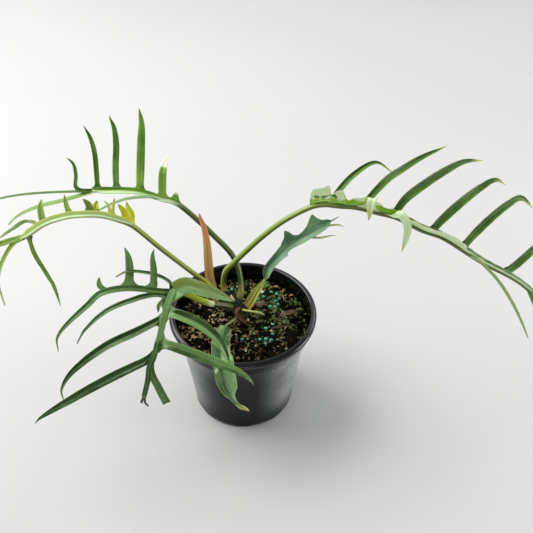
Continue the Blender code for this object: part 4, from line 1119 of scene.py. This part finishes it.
LEAF_LOW_LEFT = dict(
    stalk=[(-7, 4, 88), (-13, 0, 94), (-20, -4, 99), (-29, -9, 108), (-39, -15, 120), (-45, -18, 126)],
    midrib=[(-48, -26, 125), (-50, -34, 122), (-51, -40, 119), (-54, -53, 110), (-56, -59, 104),
            (-59, -63, 98), (-60, -67, 91), (-64, -72, 76)],
    thick=(2.6, 2.4, 1.9, 1.0),
    wings=[dict(sides=[(-2, 0.8, 0.8), (4, 2.3, 2.5), (34, 2.1, 2.2), (40, 1.9, 2.0)],
                slopes=((20.0, 6.0), (20.0, 6.0)), tones=(1.1, 1.3)),
           dict(sides=[(38, 1.9, 2.0), (62, 2.0, 2.0), (74, 1.9, 1.9), (79, 1.7, 1.7)],
                slopes=((20.0, 6.0), (20.0, 6.0)), tones=(0.1, 0.3))],
    usual=dict(web=5.0, shade_split=0.5),
    lobes=[
        (0, 4.5, [(-50, -14, 130), (-58, -12.5, 134), (-68, -14, 138), (-77, -15.5, 139.5),
                  (-85, -16.5, 135.5)],
         dict(face=Vector((0.0, 0.2, 0.98)), tone=-0.4, shade_split=0.0)),
        (6, 15, [(-39, -16, 126.5), (-29, -13, 121), (-18, -8, 112), (-6, -5.5, 103.5)],
         dict(face=Vector((0.2, -0.2, 0.95)), fold=22.0, web=2.5, tone=1.3, shade_split=-0.9)),
        (3, 5, [(-57, -21, 128), (-76, -22, 131), (-93, -26, 130), (-102, -30, 123), (-118, -38, 110),
                (-124, -42, 102), (-125, -44, 90)], dict(face=TO_FRONT, tone=0.5)),
        (8, 5.5, [(-57, -27, 129), (-67, -31, 130), (-87, -39, 126), (-102, -46, 115), (-109, -50, 105)],
         dict(face=Vector((0.0, -0.1, 1.0)), tone=0.1)),
        (12, 5, [(-53, -29, 124.5), (-55.5, -33, 119)], dict(fold=40.0, tone=1.3, shade_split=0.0)),
        (18, 8.5, [(-41, -38, 122), (-30, -42, 120), (-21, -46, 116), (-13, -51, 110), (-6, -60, 97)],
         dict(tone=0.7, shade_split=1.1)),
        (23, 7, [(-68, -45, 113), (-89, -53, 106), (-112, -61, 89), (-120, -66, 77), (-120, -68, 68)],
         dict(tone=-0.2, shade_split=0.5)),
        (39, 7.5, [(-41, -56, 110), (-20, -62, 106), (-1, -69, 103), (7, -71, 97), (10, -72, 92)],
         dict(tone=0.7, shade_split=-1.0)),
        (49, 7, [(-78, -66, 96), (-94, -70, 88), (-110, -74, 79), (-133, -80, 65), (-139, -81, 58)],
         dict(tone=-0.2, shade_split=0.5)),
        (59, 5.6, [(-55, -67, 86), (-52, -69, 78), (-49, -71, 71)],
         dict(face=TO_FRONT, end="blunt", fold=10.0, shade_split=0.2)),
        (77, 2.2, [(-65, -72, 75), (-66, -72, 72)], dict(end="blunt", web=0.5, bleach=-1.0)),
        (77, 1.8, [(-63, -73, 74), (-61, -73, 70)], dict(end="blunt", web=0.5, bleach=-1.0)),
    ])
LOW_BRANCH = [(-57, -21, 128), (-76, -22, 131), (-93, -26, 130)]
LOW_BRANCH_LOBES = [
    (2, 5.5, [(-59, -13, 138), (-60, -6, 146), (-59, -3, 150)], dict(tone=0.9, shade_split=0.5, web=5.0)),
    (19, 6.5, [(-75, -14, 138), (-76, -8, 146), (-79, -3, 151)], dict(tone=0.9, shade_split=0.5, web=5.0)),
    (36, 4.5, [(-95, -21, 134), (-95, -18, 137)], dict(tone=1.0)),
]
low_top = leaf_skin("low_leaf_top", (18, 48, 4), (110, 144, 82), (132, 162, 110), (104, 136, 66),
                    (76, 96, 40), 0.3, 3.0, 0.4, lime=(112, 122, 48))
low_under = leaf_skin("low_leaf_under", (96, 132, 78), (140, 168, 112), (160, 184, 136), (140, 150, 90),
                      (150, 150, 80), 0.42, 3.0)
# The low stalk's lime colours are partly its own and partly lightened as painted sunlight, and its
# near-black foot is painted shade under the broad lobe.
low_stalk = stalk_skin("low_stalk", 50.0, (226, 246, 80), (206, 234, 64), (160, 170, 56),
                       (28, 26, 16), (128, 168, 108), (64, 84, 40), (20.0, 22.0), (24.0, 28.0))


def low_branch(bm, rib, draw):
    """The lobes that stand up from the one that forks again."""
    branch = Rib(LOW_BRANCH[:1], LOW_BRANCH[1:])
    for along, width, points, options in LOW_BRANCH_LOBES:
        lobe(bm, branch, draw, along, width, points, face=TO_FRONT, **options)


frond("leaf_low_left", LEAF_LOW_LEFT, 34, [low_top, low_under, low_stalk], "leaf_green", low_branch)

# Small front leaf: a first undivided leaf on a thin stalk. Its glossy blade runs out over the mix,
# folds along its midrib and hangs down over the rim to a pinched brown point.

LEAF_SMALL_FRONT = dict(
    stalk=[(-2, 1, 84), (-6.5, -6, 85), (-9.5, -10.5, 86.3), (-12.2, -14.6, 87.4)],
    midrib=[(-13.6, -28, 88), (-14, -40, 91), (-13, -50, 94), (-12, -57, 93), (-10, -62, 84),
            (-7, -64, 74), (-3.4, -65, 66), (6, -63, 53)],
    thick=(1.6, 1.3, 1.0, 0.6),
    wings=[],
    lobes=[])
FRONT_NEAR_SIDE = [(0, 2.0), (1.5, 4.2), (5, 5.8), (12, 7.2), (24, 7.4), (34, 7.8), (43, 9.0), (53, 9.2),
                   (59, 7.6), (65, 5.2), (69, 3.0), (73, 2.0), (80, 1.6), (88, 1.5), (90, 0.7)]
FRONT_FAR_SIDE = [(0, 2.0), (1.5, 4.6), (5, 5.8), (12, 7.6), (24, 8.6), (36, 8.6), (46, 8.6), (53, 7.8),
                  (59, 6.0), (64, 4.2), (69, 2.4), (73, 1.9), (80, 1.6), (88, 1.5), (90, 0.7)]
BLADE_ROWS = 110
BLADE_COLUMNS = 14
BLADE_RIPPLE = 17.0


def whole_blade(bm, rib, draw, left_side, right_side, slopes, hint, wave, tones):
    """An undivided blade along the midrib, from half widths given along it."""
    length = rib.length - rib.joint
    where = [length * row / BLADE_ROWS for row in range(BLADE_ROWS + 1)]
    spine = [rib.at(along)[0] for along in where]
    sideways, normals = across_blade(spine, hint)
    left = [read_off(left_side, along) for along in where]
    right = [read_off(right_side, along) for along in where]
    phase = draw.uniform(0.0, math.tau)

    def bow(s, half, part):
        first, last = slopes[0] if s < 0.0 else slopes[1]
        out, lift = half_section(half, s, first, last)
        shift = 1.5 if s < 0.0 else 0.0
        ripple = wave * s * s * math.sin(phase + part * length / BLADE_RIPPLE * math.tau + shift)
        return out, lift + ripple

    sheet(bm, spine, sideways, normals, left, right, bow, tones=tones, columns=BLADE_COLUMNS)


def front_blade(bm, rib, draw):
    """Painted light and shade on its halves swap where it folds over: the shaded half turns light and the
    lit half turns shaded.
    """
    slopes = ((60.0, 6.0), (54.0, 16.0))
    tones = (0.0, 1.0, 1.3, -0.1)
    whole_blade(bm, rib, draw, FRONT_NEAR_SIDE, FRONT_FAR_SIDE, slopes, UP, 1.3, tones)


front_top = leaf_skin("front_leaf_top", (40, 82, 40), (136, 176, 116), (170, 200, 144), (176, 202, 110),
                      (176, 170, 56), 0.24, 19.0, 0.8, brown=(196, 146, 116))
front_under = leaf_skin("front_leaf_under", (120, 150, 92), (164, 188, 128), (176, 196, 140),
                        (150, 160, 90), (160, 150, 80), 0.4)
front_stalk = stalk_skin("front_stalk", 22.0, (150, 160, 84), (104, 114, 52), (60, 58, 28),
                         (110, 110, 56), (130, 156, 100), (84, 92, 56))
frond("leaf_small_front", LEAF_SMALL_FRONT, 35, [front_top, front_under, front_stalk], "young_green",
      front_blade)

# Small right leaf: stands up behind the stem on a broad channelled stalk. Its blue-green blade has a
# few coarse teeth and a forked end, and a thin reddish margin.

LEAF_SMALL_RIGHT = dict(
    stalk=[(1, 8, 84), (4, 9, 87), (10, 13, 97), (16, 16, 106)],
    midrib=[(18, 18, 115), (24, 20, 124), (32, 22, 133), (42, 24, 140), (53, 26, 147), (67, 30, 154)],
    thick=(2.3, 1.5, 1.1, 0.6),
    wings=[],
    lobes=[
        (46, 1.8, [(54, 21, 142), (62, 20, 145), (66, 20, 145)], dict(face=TO_FRONT, web=1.5, bleach=-0.5)),
        (59, 1.8, [(66, 26, 150), (71, 25, 149)], dict(face=TO_FRONT, web=1.2, bleach=-0.5)),
    ])
SHEATH_MARGIN = [(0, 4.4), (10, 4.6), (18, 3.6), (24, 2.4), (27, 1.4)]
SHEATH_SLOPES = (14.0, 66.0)
TOOTHED_SIDE = [(0, 0.8), (3, 2.6), (7, 3.8), (10, 3.5), (16, 3.8), (24, 4.0), (30, 5.0), (35, 8.5),
                (38.5, 14.5), (40, 11.0), (41, 5.5), (44, 3.8), (48, 4.6), (53, 7.5), (57, 12.0),
                (59.5, 14.5), (61, 9.0), (63, 5.0), (65, 4.0), (67, 3.0), (69, 0.3)]
PLAIN_SIDE = [(0, 0.8), (4, 3.0), (9, 4.2), (18, 4.2), (24, 4.6), (28.5, 5.6), (29.5, 3.8), (34, 3.4),
              (44, 4.4), (54, 4.4), (62, 4.0), (66, 2.6), (69, 0.3)]


def right_blade(bm, rib, draw):
    """The sheath margins that line the stalk's foot, and the blade above them."""
    stretch = range(1, 27)
    foot = [rib.at(along - rib.joint)[0] for along in stretch]
    sideways, normals = across_blade(foot, TO_FRONT)
    half = [read_off(SHEATH_MARGIN, along) for along in stretch]

    def bow(s, width, part):
        return half_section(width, s, *SHEATH_SLOPES)

    sheet(bm, foot, sideways, normals, half, half, bow, tones=(0.9, 0.9), slots=(2, 2))
    slopes = ((36.0, 24.0), (36.0, 26.0))
    # Painted shade on the toothed half and painted light on the plain half.
    whole_blade(bm, rib, draw, TOOTHED_SIDE, PLAIN_SIDE, slopes, TO_FRONT, 0.4, (0.1, 1.7))


small_right_top = leaf_skin("small_right_top", (62, 104, 76), (150, 192, 152), (130, 166, 130),
                            (150, 130, 100), (130, 150, 80), 0.38, 6.0, lime=(176, 208, 180))
small_right_under = leaf_skin("small_right_under", (110, 146, 104), (150, 180, 140), (170, 192, 154),
                              (140, 110, 80), (150, 150, 90), 0.42)
small_right_stalk = stalk_skin("small_right_stalk", 28.0, (196, 200, 96), (150, 152, 50), (96, 84, 34),
                               (176, 160, 84), (130, 170, 130), (90, 100, 64))
frond("leaf_small_right", LEAF_SMALL_RIGHT, 36, [small_right_top, small_right_under, small_right_stalk],
      "blue_green", right_blade)

# Dry sheaths: the papery cataphyll that wrapped the newest leaf still stands behind the stem, and
# two curled strips of an older one cling to the stem's front. Each is one folded dry skin.

SHEATH_ROUTE = [(-21.5, 18.8, 88), (-23.6, 20.5, 93), (-25.6, 22, 103), (-26.2, 24, 119), (-26.6, 25, 134),
                (-28.2, 26, 147), (-31, 27, 157)]
SHEATH_SIDE = [(0, 3.0), (10, 4.0), (35, 3.7), (50, 2.9), (62, 2.1), (72, 0.5)]
SCRAP_ROUTES = [[(-1.9, 2.5, 90.2), (-5.4, -0.7, 88.4), (-3.3, -4.1, 86.6)],
                [(-3.5, -2.5, 87.4), (-1.8, -3.6, 85.4), (0.1, -4.6, 83.5), (2.2, -5.4, 81.0),
                 (3.5, -5.8, 79.0)]]
SCRAP_SIDE = [(0, 0.7), (3, 1.6), (7, 1.3), (12, 0.4)]


def dry_skin(name, low, high, tip, tip_reach):
    """Dry papery tissue: tan or brown with darker long fibres, and redder towards its tip."""
    finish = Finish(name, 0.65, Subsurface_Weight=0.1, Subsurface_Scale=0.001)
    from_rib, along, _ = finish.marks("blade")
    to_tip, _, _ = finish.marks("extra")
    drawn_out = {"X": from_rib, "Y": finish.times(along, 0.06), "Z": 0.0}
    fibre = finish.noise(finish.node("CombineXYZ", drawn_out).outputs[0], 3.2, 4.0, 0.7)
    cloud = finish.noise(finish.place(), 90.0, 4.0)
    colour = finish.mix(finish.between(fibre, 0.35, 0.7), low, high)
    colour = finish.mix(finish.between(cloud, 0.5, 0.75, (0.0, 0.4)), colour, low)
    colour = finish.mix(finish.between(to_tip, 4.0, tip_reach, (0.85, 0.0)), colour, tip)
    finish.set("Base Color", colour)
    finish.bump(fibre, 0.6, 0.3)
    return finish


def dry_strip(bm, draw, route, side, lift, curl):
    """One folded strip of dry skin, with a margin that curls."""
    rows = max(16, round(smooth_path(route, 2)[1] / 1.5))
    spine, length = smooth_path(route, rows + 1)
    sideways, normals = across_blade(spine, TO_FRONT)
    half = [read_off(side, length * row / rows) for row in range(rows + 1)]
    phase = draw.uniform(0.0, math.tau)

    def bow(s, half_here, part):
        out, rise = half_section(half_here, s, lift, lift * 0.3)
        return out, rise + curl * abs(s) * math.sin(phase + part * length / 13.0 * math.tau)

    sheet(bm, spine, sideways, normals, half, half, bow, columns=10)


def dry_piece(name, routes, side, lift, curl, finish, seed, node):
    """Dry strips that make one piece."""
    draw = random.Random(seed)
    bm = bmesh.new()
    for route in routes:
        dry_strip(bm, draw, route, side, lift, curl)
    bmesh.ops.recalc_face_normals(bm, faces=bm.faces)
    add_piece(name, bm, [finish, finish], "dry_sheath", node)


standing = dry_skin("dry_cataphyll", (224, 168, 92), (255, 218, 150), (246, 152, 112), 34.0)
dry_piece("dry_cataphyll_skin", [SHEATH_ROUTE], SHEATH_SIDE, 46.0, 0.25, standing, 41, "dry_cataphyll")
clinging = dry_skin("dried_scrap", (84, 38, 26), (168, 98, 74), (110, 50, 38), 6.0)
dry_piece("dried_sheath_skin", SCRAP_ROUTES, SCRAP_SIDE, 50.0, 0.5, clinging, 42, "dried_sheath")

# Floor, light and camera: a plain pale floor, a broad soft light from the upper left behind, pale
# panels of light at the back and the right that the glossy leaves reflect, two low fills, and the
# photograph's viewing angle.

FLOOR_SIZE = 6.0
CAMERA_PLACE = Vector((16.73, -372.24, 464.03))
CAMERA_PITCH = 41.67
CAMERA_ROLL = 0.92
FOCAL_PIXELS = 720.0
IMAGE_WIDTH = 533.0
SENSOR = 36.0


def pale_floor():
    """Matt surface under the pot, very faintly clouded."""
    bm = bmesh.new()
    bmesh.ops.create_grid(bm, x_segments=1, y_segments=1, size=FLOOR_SIZE / 2.0)
    mesh = bpy.data.meshes.new("floor")
    bm.to_mesh(mesh)
    bm.free()
    floor = bpy.data.objects.new("floor", mesh)
    bpy.context.scene.collection.objects.link(floor)
    finish = Finish("floor_paint", 0.9, Specular_IOR_Level=0.1)
    cloud = finish.noise(finish.place(), 3.0, 3.0)
    finish.set("Base Color", finish.mix(cloud, (200, 200, 199), (206, 206, 205)))
    mesh.materials.append(finish.material)


def area_light(name, place, target, size, power, colour):
    """A soft rectangular light, in metres and watts, that faces its target."""
    data = bpy.data.lights.new(name, "AREA")
    data.shape = "RECTANGLE"
    data.size, data.size_y = size
    data.energy = power
    data.color = colour
    light = bpy.data.objects.new(name, data)
    light.location = place
    light.rotation_euler = (Vector(target) - Vector(place)).to_track_quat("-Z", "Y").to_euler()
    light.visible_camera = False
    bpy.context.scene.collection.objects.link(light)


def pale_world():
    """Dim, slightly blue light from all round."""
    world = bpy.data.worlds.new("studio")
    world.use_nodes = True
    background = world.node_tree.nodes["Background"]
    background.inputs["Color"].default_value = (0.93, 0.96, 1.0, 1.0)
    background.inputs["Strength"].default_value = 0.34
    bpy.context.scene.world = world
    bpy.context.scene.view_settings.view_transform = "Standard"


def photo_camera():
    """The camera that the photograph's rim, base and leaves were fitted with."""
    data = bpy.data.cameras.new("camera")
    data.sensor_width = SENSOR
    data.lens = FOCAL_PIXELS / IMAGE_WIDTH * SENSOR
    camera = bpy.data.objects.new("camera", data)
    place = Matrix.Translation(CAMERA_PLACE * MM)
    tilt = Matrix.Rotation(math.radians(90.0 - CAMERA_PITCH), 4, "X")
    camera.matrix_world = place @ tilt @ Matrix.Rotation(math.radians(CAMERA_ROLL), 4, "Z")
    bpy.context.scene.collection.objects.link(camera)
    bpy.context.scene.camera = camera


pale_floor()
pale_world()
area_light("overhead", (-0.8, 0.3, 1.05), (0.0, 0.0, 0.1), (1.1, 1.1), 22.0, (1.0, 0.995, 0.975))
area_light("back_wall", (0.05, 1.1, 1.0), (0.0, 0.0, 0.1), (1.7, 0.8), 3.6, (0.99, 0.995, 1.0))
area_light("front_fill", (0.1, -1.2, 0.4), (0.0, 0.0, 0.1), (0.6, 0.2), 1.0, (1.0, 0.995, 0.985))
area_light("right_fill", (0.85, -0.05, 0.22), (0.0, 0.0, 0.07), (0.35, 0.3), 3.0, (1.0, 0.995, 0.985))
area_light("right_wall", (1.0, 0.75, 0.75), (0.0, 0.0, 0.1), (0.8, 0.6), 4.0, (1.0, 0.995, 0.985))
photo_camera()
